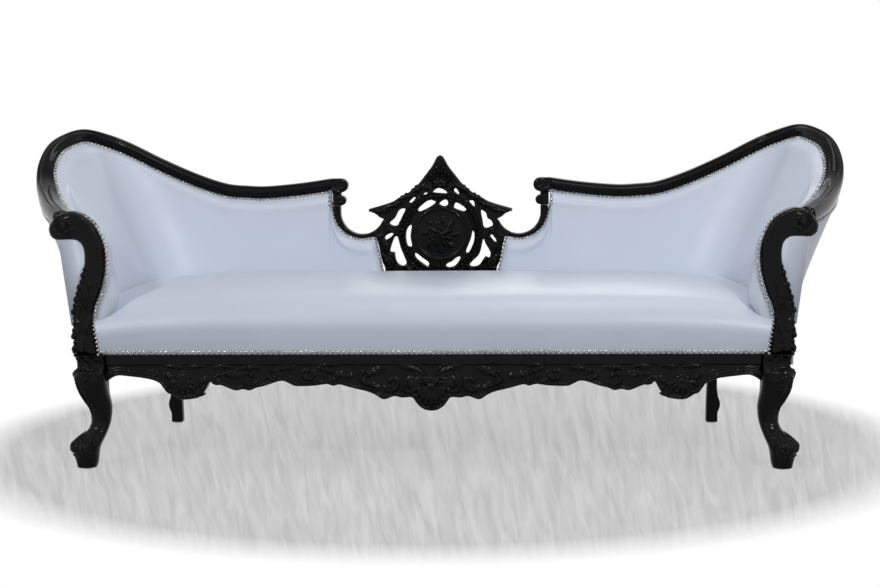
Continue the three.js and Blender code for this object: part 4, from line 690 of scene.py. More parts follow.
def front_rail():
    top, ground_y = LEG_HEIGHT - RAIL_REBATE / 2, rail_face + RELIEF_GROUND
    right = [tuple(p) for p in apron_edge]
    outline = [(-apron_half, top)] + [(-x, z) for x, z in right[:0:-1]] + right + [(apron_half, top)]
    ground = plate(outline, [], ground_y, RAIL_THICK - RELIEF_GROUND, 0.003)
    tenon_low = (-apron_half, rail_face + RAIL_REBATE, LEG_HEIGHT - 0.03)
    tenon = bar(tenon_low, (apron_half, rail_face + RAIL_THICK, rail_top))
    band = bar((-apron_half, rail_face, LEG_HEIGHT - 0.028), (apron_half, rail_face + 0.02, top))
    edge = inset_line(apron_edge, 0.0045)
    # Each row: centre across and up, start, turns, outer and inner reach, thickness.
    half = [tube(edge, 0.0042)] + [scroll(*row) for row in [
        (0.1, 0.222, 0.95, -0.85, 0.025, 0.008, 0.0062), (0.062, 0.214, 0.35, 0.8, 0.026, 0.007, 0.0058),
        (0.165, 0.24, 0.62, 0.8, 0.024, 0.008, 0.0058), (0.252, 0.243, 0.1, -0.9, 0.022, 0.007, 0.0055),
        (0.318, 0.247, 0.45, 0.9, 0.021, 0.007, 0.0055), (0.405, 0.247, 0.05, -0.9, 0.021, 0.006, 0.0055),
        (0.468, 0.236, 0.55, 0.85, 0.024, 0.008, 0.006), (0.548, 0.236, 0.02, -0.85, 0.021, 0.007, 0.0055),
        (0.597, 0.208, 0.6, 0.9, 0.02, 0.007, 0.0055), (0.668, 0.214, 0.95, -0.9, 0.02, 0.007, 0.0055),
        (0.72, 0.243, 0.25, 0.75, 0.014, 0.005, 0.0045),
    ]]
    # Leaves: across, up, direction, length, width, curl.
    for x, z, angle, length, width, curl in [
        (0.082, 0.268, 0.52, 0.052, 0.02, 0.06), (0.118, 0.262, -0.04, 0.06, 0.02, -0.08),
        (0.04, 0.236, 0.72, 0.045, 0.02, 0.1), (0.13, 0.208, 0.05, 0.05, 0.018, 0.05),
        (0.2, 0.24, 0.03, 0.05, 0.022, -0.05), (0.24, 0.268, 0.04, 0.05, 0.018, -0.1),
        (0.29, 0.262, 0.53, 0.048, 0.018, 0.08), (0.3, 0.23, 0.55, 0.045, 0.018, -0.06),
        (0.35, 0.262, 0.0, 0.055, 0.02, -0.05), (0.392, 0.262, 0.5, 0.04, 0.018, 0.05),
        (0.438, 0.262, 0.02, 0.055, 0.02, -0.08), (0.49, 0.244, -0.02, 0.05, 0.02, 0.04),
        (0.56, 0.262, 0.45, 0.05, 0.02, 0.1), (0.575, 0.238, -0.12, 0.04, 0.018, 0.05),
        (0.69, 0.25, 0.6, 0.04, 0.018, 0.05), (0.64, 0.262, 0.04, 0.05, 0.018, -0.06),
        (0.628, 0.262, 0.46, 0.05, 0.018, 0.06),
    ]:
        half.append(leaf(x, z, angle, length, width, curl=curl))
    half.append(leaf(0.064, 0.24, 0.68, 0.05, 0.024, 0.008, 3, 0.03))
    # Side drop: a shell over a pendant.
    half.append(fan(0.64, 0.226, 0.52, 0.98, 7, 0.007, 0.03, 0.0062, 0.0065))
    half.append(fan(0.64, 0.228, 0.08, 0.42, 5, 0.006, 0.018, 0.005, 0.006))
    half.append(beads([(0.628, 0.188), (0.652, 0.188)], 0.012, 0.0045))
    # Double bead along the arch beside the leg.
    arch = [p for p in apron_edge if p[0] > 0.71]
    half.append(tube(inset_line(arch, 0.013), 0.0028))
    half.append(tube(inset_line(arch, 0.02), 0.0022))
    # Bracket of two ribs that meet over the middle shell.
    bracket = smooth_line([[0.004, 0.232], [0.012, 0.247], [0.026, 0.262], [0.046, 0.273], [0.068, 0.28]], 24)
    half.append(tube(bracket, 0.0038))
    half.append(tube(inset_line(bracket, -0.009), 0.0024))
    middle = [
        fan(0, 0.212, 0.53, 0.97, 9, 0.01, 0.044, 0.0065, 0.0075),
        fan(0, 0.214, 0.1, 0.4, 7, 0.008, 0.02, 0.005, 0.006), ball(0, 0.212, 0.012, 0.012, 0.01),
        both_sides(scroll(0.027, 0.226, 0.62, -0.9, 0.012, 0.004, 0.0042)),
    ]
    relief = join([both_sides(part) for part in half] + middle)
    return mesh_object("front_rail", *join([ground, tenon, band, on_front(relief, ground_y)]))


# Front legs: cabriole on the diagonal, with a carved knee and a leafed scroll toe

LEG = [
    [0, 0.3, 0.8], [0.04, 0.26, 0.82], [0.118, 0.23, 0.88], [0.168, 0.2, 0.94], [0.202, 0.17, 0.93],
    [0.242, 0.12, 0.8], [0.286, 0.07, 0.65], [0.337, 0.02, 0.53], [0.387, -0.02, 0.48], [0.455, -0.05, 0.49],
    [0.522, -0.06, 0.52], [0.589, -0.04, 0.61], [0.657, -0.01, 0.7], [0.714, 0, 0.76], [0.768, 0, 0.8],
    [0.815, 0, 0.81], [0.842, 0, 0.83], [0.882, 0, 0.71], [0.926, 0, 0.69], [0.97, 0, 0.75], [1, 0, 0.83],
]
leg_base = GLIDE_HEIGHT + GAP


def leg_surface(t, angle):
    """Spot on the leg's skin, at a share of its height and a direction round it."""
    rows = np.asarray(LEG)
    t = min(max(t, 0), 1)
    inner, outer = np.interp(t, rows[:, 0], rows[:, 1]), np.interp(t, rows[:, 0], rows[:, 2])
    # The leg is round below and squares up towards the rail.
    c, s = squared_spot(angle, 2.4 + 2.2 * max(0, min(1, (t - 0.62) / 0.15)))
    middle, half = (inner + outer) / 2, (outer - inner) / 2
    return np.array([leg_inner + (middle + c * half) * LEG_REACH,
                     -DEPTH / 2 + (TOE_SHARE - middle + s * half) * LEG_REACH,
                     leg_base + t * (LEG_HEIGHT - leg_base)])


def leg_ring(t, count=40):
    return [leg_surface(t, 2 * math.pi * (k + 0.5) / count) for k in range(count)]


def on_leg(part, t, share=0.0, sink=0.001):
    """Wraps a local body on the leg. share is 0 at its outward corner, -1 in front and 1 at the side."""
    points, faces = part
    start = -math.pi / 4 + share * math.pi / 4
    around = np.linalg.norm(leg_surface(t, start + 0.05) - leg_surface(t, start)) / 0.05
    wrapped = []
    for across, up, out in points:
        height, angle = t + up / LEG_HEIGHT, start + across / around
        here = leg_surface(height, angle)
        side = leg_surface(height, angle + 0.03) - leg_surface(height, angle - 0.03)
        rise = leg_surface(height + 0.01, angle) - leg_surface(height - 0.01, angle)
        wrapped.append(here + unit(np.cross(side, rise)) * (out - sink))
    return wrapped, faces


def front_leg():
    parts = [loft([leg_ring(k / 60) for k in range(61)])]
    # Toe: leaves that fold over it, with a small scroll each side.
    for share, length, wide in ((0.3, 0.044, 0.022), (0.9, 0.05, 0.026), (1.5, 0.036, 0.022)):
        toe_leaf = leaf(0, 0, 0.25, length, wide, 0.0055, tip=0.003)
        parts += [on_leg(toe_leaf, 0.14, -share, 0.002), on_leg(toe_leaf, 0.14, share, 0.002)]
    parts.append(on_leg(leaf(0, 0, 0.25, 0.055, 0.02, 0.006, 3), 0.15, 0, 0.0015))
    for share, way in ((-1.3, 1), (1.3, -1)):
        parts.append(on_leg(scroll(0, 0, 0.25, 0.9 * way, 0.012, 0.004, 0.0042), 0.15, share))
    for k in range(7):
        parts.append(on_leg(ball(0, 0, 0.0042, 0.0042, 0.004, sides=8), 0.115, -1.5 + k * 0.5))
    # Knee: paired scrolls with leaves that fall down the leg and climb to the rail.
    for way in (-1, 1):
        share = 0.75 * way
        parts += [
            on_leg(scroll(0, 0, 0.25 + 0.1 * way, 0.85 * way, 0.018, 0.006, 0.0052), 0.83, share),
            on_leg(scroll(0, 0, 0.75 - 0.1 * way, -0.8 * way, 0.013, 0.004, 0.0042), 0.7, share * 0.9),
            on_leg(leaf(0, 0, 0.75 + 0.03 * way, 0.07, 0.024, 0.0055, 4, -0.03 * way), 0.72, share * 0.55),
            on_leg(leaf(0, 0, 0.25 - 0.03 * way, 0.04, 0.018, 0.005, 3, 0.04 * way), 0.87, share),
            on_leg(leaf(0, 0, 0.25 + 0.05 * way, 0.036, 0.016, 0.005, 3, -0.05 * way), 0.87, share * 1.6),
        ]
    parts.append(on_leg(leaf(0, 0, 0.75, 0.095, 0.026, 0.0065, 5), 0.76))
    parts.append(on_leg(leaf(0, 0, 0.25, 0.042, 0.022, 0.0065, 3), 0.84))
    for k in range(6):
        parts.append(on_leg(ball(0, 0, 0.0052 - 0.0004 * k, 0.0052, 0.005, sides=8), 0.79 - 0.033 * k))
    for share in (-1.6, -0.8, 0, 0.8, 1.6):
        parts.append(on_leg(ball(0, 0, 0.0058, 0.005, 0.005), 0.965, share))
    return mesh_object("leg", *join(parts))


# Arm posts: a rounded swan neck that rolls out into a scroll


def arm_post():
    outline = [*post_inner.tolist(), *post_outer.tolist()]
    layers = [(0, 0.011), (0.0022, 0.006), (0.0055, 0.0025), (0.0095, 0.0006), (0.014, 0)]
    parts = [plate(outline, [], post_y + 0.012, POST_THICK - 0.012, 0.004)]
    # The front is rounded: thin layers step in towards it and are melted together.
    loop = np.array(outline)
    for deep, step in layers:
        line = inset_line(np.vstack([loop, loop[:1]]), -step)[:-1]
        parts.append(plate([tuple(p) for p in line], [], post_y + deep, 0.014, 0.002))
    roll_x, roll_z = post_x + 0.71 * POST_SPAN, post_base + 0.9 * post_rise
    relief = [
        tube(inset_line(post_inner[8:], -0.0085), 0.003),
        tube(inset_line(post_inner[10:], -0.0155), 0.0022),
        scroll(roll_x, roll_z, 0.3, -1.55, 0.03, 0.006, 0.0065, 0.6),
        ball(roll_x, roll_z, 0.0085, 0.0085, 0.008),
    ]
    # Nodules and small leaves down the outer edge, and leaves up the foot of the post.
    for k, (x, z) in enumerate(even_points(post_outer[52:], 0.0165)):
        size = 0.0052 + 0.0018 * (k % 2)
        relief.append(ball(x - 0.006, z, size, size * 1.25, size, 0.3, -0.001))
    for x, z, angle, length, width, curl in [
        (0.895, 0.3, 0.25, 0.07, 0.03, 0.02), (0.884, 0.345, 0.27, 0.06, 0.022, 0.04),
        (0.903, 0.352, 0.22, 0.055, 0.022, -0.03), (0.886, 0.4, 0.28, 0.06, 0.02, 0.03),
        (0.901, 0.405, 0.29, 0.05, 0.018, 0.02), (0.878, 0.452, 0.3, 0.055, 0.018, -0.03),
        (0.912, 0.64, 0.0, 0.045, 0.02, 0.06), (0.905, 0.618, 0.98, 0.045, 0.018, -0.02),
    ]:
        relief.append(leaf(x, z, angle, length, width, 0.0055, 3, curl))
    return mesh_object("post", *join(parts + [on_front(join(relief), post_y + 0.001)]))


# Terminals: where each top rail ends beside the crest in two carved balls

terminal_inner = CREST_ARM_X + CREST_ARM_RADIUS


def terminal():
    right, side = terminal_outer - GAP, terminal_outer - GAP - PAD_SINK
    lower_z, upper_z = terminal_bottom + TERMINAL_LOWER_BALL, terminal_top - TERMINAL_BALL
    front, thick = back_y - TERMINAL_DEPTH / 2, TERMINAL_DEPTH - 0.007
    outline = [(terminal_inner, terminal_bottom), (side, terminal_bottom), (side, upper_z - 0.01),
               (right, upper_z - 0.01), (right, terminal_top), (terminal_inner, terminal_top)]
    parts = [plate(outline, [], front + 0.004, thick, 0.003)]
    for z, radius in ((upper_z, TERMINAL_BALL), (lower_z, TERMINAL_LOWER_BALL)):
        disc = [turn_spot(turn, radius, terminal_inner, z) for turn in np.linspace(0, 1, 40)[:-1]]
        parts.append(plate(disc, [], front + 0.0035, thick, 0.005))
        roll = scroll(terminal_inner, z, 0.95, 1.5, radius * 0.8, radius * 0.22, radius * 0.2)
        parts.append(on_front(roll, front + 0.004))
    parts.append(on_front(leaf(terminal_inner + 0.004, upper_z - 0.022, 0.08, 0.034, 0.018), front + 0.004))
    return mesh_object("terminal", *join(parts))


def arm_end(radius):
    """Turn at which an arc of the crest's arm meets the crest."""
    return math.acos((CREST_HALF - PAD_SINK + GAP - CREST_ARM_X) / radius) / (2 * math.pi)


def crest_arm():
    """U-shaped moulded band from the terminal round to the crest's side."""
    top, outer_z = terminal_bottom - GAP, CREST_ARM_Z + CREST_ARM_BAND
    turns = np.linspace(0, -arm_end(crest_arm_outer), 60)
    outer = [(CREST_ARM_X + crest_arm_outer, top)]
    outer += [turn_spot(turn, crest_arm_outer, CREST_ARM_X, outer_z) for turn in turns]
    turns = np.linspace(-arm_end(CREST_ARM_RADIUS), 0, 60)
    inner = [turn_spot(turn, CREST_ARM_RADIUS, CREST_ARM_X, CREST_ARM_Z) for turn in turns]
    inner.append((CREST_ARM_X + CREST_ARM_RADIUS, top))
    bead = smooth_line(inset_line(inner[::-1], 0.006), 80)
    line = smooth_line(inset_line(outer, -0.006), 80)
    ground_y = crest_arm_front + 0.003
    parts = [plate(outer + inner, [], ground_y, CREST_ARM_THICK - 0.003, 0.004)]
    parts += [on_front(tube(bead, 0.0058), ground_y + 0.0015), on_front(tube(line, 0.0036), ground_y)]
    return mesh_object("crest_arm", *join(parts))


# Crest: pierced panel with a twisted ring, a rosette, leafed wings and a shell under its point

CREST_UPPER = [
    [0.045, 0.985], [0.12, 0.905], [0.202, 0.843], [0.288, 0.778], [0.385, 0.725], [0.481, 0.683],
    [0.6, 0.643], [0.74, 0.609], [1, 0.565],
]
CREST_UNDER = [[0.93, 0.535], [0.885, 0.52], [0.85, 0.5], [0.784, 0.483]]
CREST_SIDE = [[0.896, 0.342], [0.862, 0.27], [0.84, 0.2], [0.81, 0.13], [0.779, 0.09], [0.77, 0]]
# Each opening's outline, from the medallion's centre, as shares of the crest's half width.
CREST_OPENINGS = [
    [[-0.5, 0.35], [-0.57, 0.33], [-0.63, 0.22], [-0.7, 0.16], [-0.69, 0.13], [-0.61, 0.11], [-0.55, 0.2],
     [-0.49, 0.33]],
    [[0.56, 0.31], [0.58, 0.32], [0.63, 0.28], [0.65, 0.21], [0.7, 0.18], [0.72, 0.11], [0.61, 0.08],
     [0.58, 0.19]],
    [[-0.6, -0.04], [-0.65, -0.07], [-0.7, -0.22], [-0.69, -0.25], [-0.64, -0.26], [-0.63, -0.33],
     [-0.6, -0.41], [-0.52, -0.45], [-0.48, -0.41], [-0.49, -0.36], [-0.56, -0.19]],
    [[0.59, -0.08], [0.62, -0.14], [0.69, -0.27], [0.67, -0.34], [0.62, -0.32], [0.57, -0.39], [0.53, -0.44],
     [0.46, -0.46], [0.4, -0.44], [0.44, -0.38], [0.5, -0.33], [0.55, -0.25]],
    [[-0.77, -0.07], [-0.77, -0.04], [-0.72, 0], [-0.65, 0.01], [-0.69, -0.04], [-0.75, -0.08]],
    [[0.69, -0.03], [0.72, -0.02], [0.77, -0.1], [0.76, -0.12], [0.71, -0.07]],
    [[-0.1, 0.58], [-0.03, 0.63], [0.06, 0.6], [0.1, 0.56], [0.03, 0.56], [-0.08, 0.57]],
    [[0.19, 0.6], [0.21, 0.63], [0.24, 0.6], [0.26, 0.54], [0.21, 0.57]],
    [[0.4, 0.45], [0.46, 0.45], [0.47, 0.37], [0.42, 0.42]],
    [[-0.43, 0.44], [-0.37, 0.5], [-0.34, 0.5], [-0.39, 0.44], [-0.42, 0.43]],
    [[-0.23, 0.54], [-0.22, 0.56], [-0.18, 0.57], [-0.19, 0.55]],
    [[-0.4, 0.11], [-0.42, -0.03], [-0.4, -0.16], [-0.42, -0.18], [-0.46, -0.16], [-0.48, -0.05],
     [-0.47, 0.05], [-0.43, 0.11]],
    [[-0.31, 0.34], [-0.24, 0.41], [-0.16, 0.46], [-0.09, 0.46], [-0.07, 0.43], [-0.15, 0.37], [-0.23, 0.33],
     [-0.29, 0.31]],
    [[-0.01, 0.42], [0.05, 0.47], [0.1, 0.46], [0.1, 0.4], [0.05, 0.38], [0, 0.4]],
    [[0.19, 0.38], [0.22, 0.43], [0.34, 0.36], [0.35, 0.32], [0.31, 0.31], [0.2, 0.35]],
    [[0.45, 0.04], [0.47, 0], [0.46, -0.11], [0.42, -0.21], [0.38, -0.27], [0.35, -0.25], [0.38, -0.17],
     [0.42, -0.07], [0.44, 0.02]],
    [[0.26, -0.32], [0.27, -0.34], [0.24, -0.4], [0.19, -0.45], [0.12, -0.47], [0.07, -0.45], [0.1, -0.41],
     [0.15, -0.39], [0.21, -0.34]],
    [[-0.36, -0.29], [-0.34, -0.27], [-0.25, -0.34], [-0.17, -0.4], [-0.17, -0.45], [-0.2, -0.45],
     [-0.33, -0.35]],
]
crest_ground = crest_front + CREST_GROUND


def in_crest(rows):
    """Spots in the crest's plane, from shares of its half width and its rise."""
    return [(x * CREST_HALF, crest_bottom + z * crest_rise) for x, z in rows]


def opening_outline(rows):
    """Smooth closed line through an opening's points."""
    points = []
    for k in range(3 * len(rows)):
        i, u = k // 3, k % 3 / 3
        around = [rows[(i + step) % len(rows)] for step in (-1, 0, 1, 2)]
        x, z = smooth_row(around, (1 + u) / 3)
        points.append((x * CREST_HALF, MEDALLION_HEIGHT + z * CREST_HALF))
    return points


def crest_outline():
    cut = CREST_HALF - PAD_SINK
    foot_z = CREST_ARM_Z + CREST_ARM_BAND - math.sqrt(crest_arm_outer**2 - (cut - CREST_ARM_X) ** 2)
    arc_end = 1 - math.acos((cut - CREST_ARM_X) / CREST_ARM_RADIUS) / (2 * math.pi)
    turns = [*np.linspace(0.565, 0.68, 7), arc_end]
    arc = [turn_spot(turn, CREST_ARM_RADIUS, CREST_ARM_X, CREST_ARM_Z) for turn in turns]
    half = [tuple(p) for p in smooth_line(in_crest(CREST_UPPER), 40)] + in_crest(CREST_UNDER) + arc
    half += [(cut, foot_z)] + [tuple(p) for p in smooth_line(in_crest(CREST_SIDE), 20)]
    return [(0, CREST_HEIGHT)] + half + [(-x, z) for x, z in half[::-1]]


def crest():
    openings = [opening_outline(rows) for rows in CREST_OPENINGS]
    ground = plate(crest_outline(), openings, crest_ground, CREST_THICK - CREST_GROUND, 0.003)
    parts = []
    # Twisted ring between two plain rings.
    twists = 52
    for k in range(twists):
        x, z = turn_spot(k / twists, ROPE_RADIUS)
        parts.append(ball(x, z, 0.0098, 0.0046, 0.0085, 2 * math.pi * (k / twists + 0.13), 0.001, 10))
    for radius, thick in ((ROPE_RADIUS - 0.0115, 0.0022), (ROPE_RADIUS + 0.0112, 0.0024)):
        parts.append(tube([turn_spot(t, radius) + (0.001,) for t in np.linspace(0, 1, 120)], thick, 8))
    # Ribs along the upper edge and the wings' undersides.
    upper = smooth_line(in_crest(CREST_UPPER), 60)
    half = [
        tube(inset_line(upper, -0.006), np.linspace(0.0045, 0.0028, 61)),
        tube(inset_line(upper, -0.015)[6:54], np.linspace(0.003, 0.0018, 48)),
        tube(smooth_line([[0.118, 0.648], [0.14, 0.634], [0.165, 0.625], [0.19, 0.622]], 24), 0.0026),
    ]
    side_rib = [[0.165, 0.596], [0.16, 0.585], [0.158, 0.572], [0.166, 0.556], [0.182, 0.549]]
    half.append(tube(smooth_line(side_rib, 24), 0.0034))
    # Scrolls: centre across and up, start, turns, outer and inner reach, thickness.
    half += [scroll(*row) for row in [
        (0.147, 0.556, 0.2, 0.95, 0.017, 0.005, 0.0052), (0.166, 0.52, 0.72, -0.9, 0.014, 0.005, 0.0046),
        (0.152, 0.47, 0.25, 0.9, 0.018, 0.006, 0.0052), (0.075, 0.452, 0.3, -0.7, 0.014, 0.005, 0.0042),
        (0.083, 0.668, 0.8, 0.8, 0.013, 0.004, 0.0044), (0.118, 0.655, 0.75, -0.8, 0.011, 0.004, 0.004),
    ]]
    # Leaves: across, up, direction, length, width, rise, lobes, curl.
    half += [leaf(*row) for row in [
        (0.045, 0.7, 0.93, 0.06, 0.026, 0.0075, 4, -0.04), (0.075, 0.676, 0.93, 0.06, 0.024, 0.007, 4, 0.03),
        (0.105, 0.655, 0.92, 0.065, 0.024, 0.007, 4, 0.05), (0.14, 0.633, 0.96, 0.06, 0.02, 0.006, 4, 0.02),
        (0.024, 0.716, 0.16, 0.03, 0.014, 0.006, 3, 0.09), (0.052, 0.7, 0.6, 0.03, 0.016, 0.006, 3, -0.05),
        (0.168, 0.545, 0.72, 0.05, 0.022, 0.007, 4, -0.04), (0.166, 0.5, 0.7, 0.05, 0.022, 0.007, 4, -0.06),
        (0.142, 0.5, 0.66, 0.04, 0.018, 0.006, 3, -0.08), (0.132, 0.585, 0.3, 0.032, 0.014, 0.006, 3, -0.05),
        (0.11, 0.47, 0.62, 0.05, 0.018, 0.006, 3, -0.03), (0.055, 0.45, 0.55, 0.05, 0.018, 0.006, 3, -0.02),
    ]]
    half.append(beads([(0.116, 0.63), (0.119, 0.6), (0.12, 0.576)], 0.009, 0.0036))
    parts += [both_sides(part) for part in half]
    # Shell and crossed leaves under the point.
    for k in range(-4, 5):
        turn = 0.25 + k * 0.043
        root = turn_spot(turn, 0.01, 0, 0.698)
        parts.append(leaf(*root, turn, 0.052 - 0.0035 * abs(k), 0.011, 0.0075, 4, -k * 0.012))
    parts.append(fan(0, 0.698, 0.0, 0.5, 7, 0.006, 0.017, 0.0048, 0.0095))
    parts.append(leaf(0, 0.75, 0.25, 0.028, 0.018, 0.005, 3))
    parts.append(leaf(0, 0.452, 0.25, 0.026, 0.022, 0.006, 3))
    panel = carve(mesh_object("crest_panel", *join([ground, on_front(join(parts), crest_ground)])), 0.0012)
    # The carving that lies across an opening is cut away.
    cutters = []
    for opening in openings:
        middle = np.mean(opening, axis=0)
        edge = [middle + (np.array(spot) - middle) * 0.97 for spot in opening]
        cutters.append(loft([[(x, y, z) for x, z in edge] for y in (crest_front - 0.03, crest_front + 0.06)]))
    cutter = mesh_object("cutter", *join(cutters))
    cut = panel.modifiers.new("openings", "BOOLEAN")
    cut.object, cut.operation, cut.solver = cutter, "DIFFERENCE", "EXACT"
    apply_modifiers(panel)
    bpy.data.objects.remove(cutter)
    return panel


def medallion():
    """Domed disc with a stepped rim and a many-petalled rosette."""
    profile = [[0, 0], [0.97, 0], [1, 0.25], [0.985, 0.5], [0.95, 0.56], [0.9, 0.5], [0.87, 0.36],
               [0.84, 0.3], [0.8, 0.34], [0.76, 0.3], [0.6, 0.42], [0.3, 0.6], [0, 0.66]]
    rise = 0.013
    rings = [[(*turn_spot(turn, r * MEDALLION_RADIUS, 0, 0), h * rise) for r, h in profile]
             for turn in np.linspace(0, 1, 97)]
    parts = [loft(rings, closed=False, cap=False)]
    # Rows of petals: count, root radius, length, width, place of the first, lift.
    for count, start, reach, wide, first, lift in (
        (8, 0.014, 0.044, 0.03, 0, 0.004), (8, 0.008, 0.033, 0.024, 0.5, 0.007),
        (5, 0.003, 0.022, 0.018, 0.2, 0.0095),
    ):
        for k in range(count):
            turn = (k + first) / count
            root = turn_spot(turn, start, 0, 0)
            parts.append(leaf(*root, turn - 0.07, reach, wide, 0.006, 2, 0.16, lift))
    parts.append(ball(0, 0, 0.0075, 0.0075, 0.005, 0, 0.011))
    return mesh_object("rosette", *place(join(parts), (0, crest_front - GAP, MEDALLION_HEIGHT)))


# Rear legs and stiles

REAR_LEG = [
    [0, 0, 2, 1], [0.035, 0, 1.96, 1], [0.045, 0.5, 1.9, 1], [0.06, 1, 1.8, 1], [0.078, 0.9, 1.7, 1],
    [0.095, 0.1, 1.5, 1], [0.13, -0.6, 1, 1], [0.2, -0.8, 0.4, 1], [0.3, -0.4, 0.1, 1], [0.4, 0, 0, 0],
    [0.6, 0, 0, 0], [0.8, 0, 0.5, 0], [1, 0, 1, 0],
]
stile_top = EAR_HEIGHT - (EAR_HEIGHT - DIP_HEIGHT) / 2


def rear_leg():
    rows = np.array(REAR_LEG)
    rings = []
    for t in sorted(set(np.linspace(0, 0.44, 70)) | set(np.linspace(0.44, 0.92, 12))):
        reach, rake, full = (np.interp(t, rows[:, 0], rows[:, k]) for k in (1, 2, 3))
        y, depth = rear_stile_y + rake * REAR_LEG_RAKE, STILE_DEPTH + full * (REAR_LEG_DEPTH - STILE_DEPTH)
        x0, x1 = rear_leg_x - REAR_LEG_WIDTH / 2, rear_leg_x + REAR_LEG_WIDTH / 2 + reach * KNOB_REACH
        z = leg_base + t * (stile_top - leg_base)
        rings.append(rounded_ring(x0, x1, y - depth / 2, y + depth / 2, z, 5))
    return mesh_object("rear_leg", *loft(rings))


# Nails: small domes in runs


def dome(spot, out, radius, rise=NAIL_RISE, sides=10):
    """Nail head: rings from under the leather up to the flat top."""
    out = unit(out)
    side = unit(np.cross(out, (0, 0, 1)) if abs(out[2]) < 0.9 else np.cross(out, (1, 0, 0)))
    lift = np.cross(out, side)
    rings = []
    for reach, height in ((1, -0.5), (1, 0.12), (0.82, 0.62), (0.45, 0.93)):
        middle = spot + out * height * rise
        rings.append([middle + (side * c + lift * s) * radius * reach for c, s in circle(sides)])
    return loft(rings)


def nails(points, outs, pitch=CLOSE_PITCH, radius=CLOSE_NAIL_RADIUS):
    """Nails at an even pitch along a line, with one direction for all or one at each point."""
    rows = even_points(np.hstack([points, np.broadcast_to(outs, np.shape(points))]), pitch)
    return join([dome(row[:3], row[3:], radius) for row in rows])


def edge_line(point, top, spots, inset, lift=0.0):
    """Line on a leather's face, at an inset from its upper edge."""
    heights = [np.linalg.norm(top(spot)[0] - point(spot, 0)) for spot in spots]
    return [point(spot, 1 - inset / height, lift) for spot, height in zip(spots, heights)]


def outward(spots):
    """Outward directions of the outside leather."""
    return [-facing(smooth_row(outside_stations, spot / panel_end)[2]) for spot in spots]


def nail_runs():
    # Along the seat's lower edge.
    seat_line = [seat_point(a, 0.012) + (0, -0.0012, 0.0055) for a in np.linspace(-0.992, 0.992, 160)]
    seat_run = nails(seat_line, (0, -1, 0.05), NAIL_PITCH, NAIL_RADIUS)
    # Under the top rail, from the terminal round the ear to the arm.
    spots = np.linspace(inner_stations, panel_end, 150)
    frames = [rail_frame(min(1, rail_share(spot))) for spot in spots]
    outs = [face - 0.25 * out for _, out, face, _ in frames]
    line = edge_line(pad_point, inside_top, spots, 0.0034)
    half = [nails([p + unit(o) * 0.0012 for p, o in zip(line, outs)], outs)]
    # Beside the arm post.
    low, high, reach = pad_base + 0.026, ARM_HEIGHT - 0.012, post_x + 0.3 * POST_SPAN
    inner = inset_line(post_inner, 0.0042)
    line = [(x, post_y + 0.0025, z) for x, z in inner if low < z < high and x < reach]
    half.append(nails(line, (-0.3, -1, 0)))
    # Up the crest's side, round the U-shaped arm and up the terminal's side, all on the leather.
    line = [pad_point(0.1, v) for v in np.linspace(0.3, 0.97, 24)]
    line += edge_line(pad_point, inside_top, np.linspace(0.2, 7.6, 60), 0.0045)
    line += [pad_point(inner_stations + 0.07, v) for v in np.linspace(0.86, 0.985, 8)]
    half.append(nails([p - (0, 0.0006, 0) for p in line], (0, -1, 0)))
    # Up the seat's end to the arm's leather.
    line = [seat_point(1, t) + (0.001, -0.0008, 0) for t in np.linspace(0.02, 0.4, 30)]
    half.append(nails([p for p in line if p[2] < pad_base + 0.018], (-0.25, -1, 0)))
    # Outside: under the rail's outer edge, and along the lower edge.
    spots = inner_stations + np.linspace(0.03, 0.965, 150) * (rail_stations - 1)
    half.append(nails(edge_line(outside_point, outside_top, spots, 0.012, LEATHER_GAP), outward(spots)))
    spots = np.linspace(0.3, panel_end - 0.3, 150)
    half.append(nails([outside_point(spot, 0.035, LEATHER_GAP) for spot in spots], outward(spots)))
    return join([seat_run] + [both_sides(part) for part in half])


# Materials


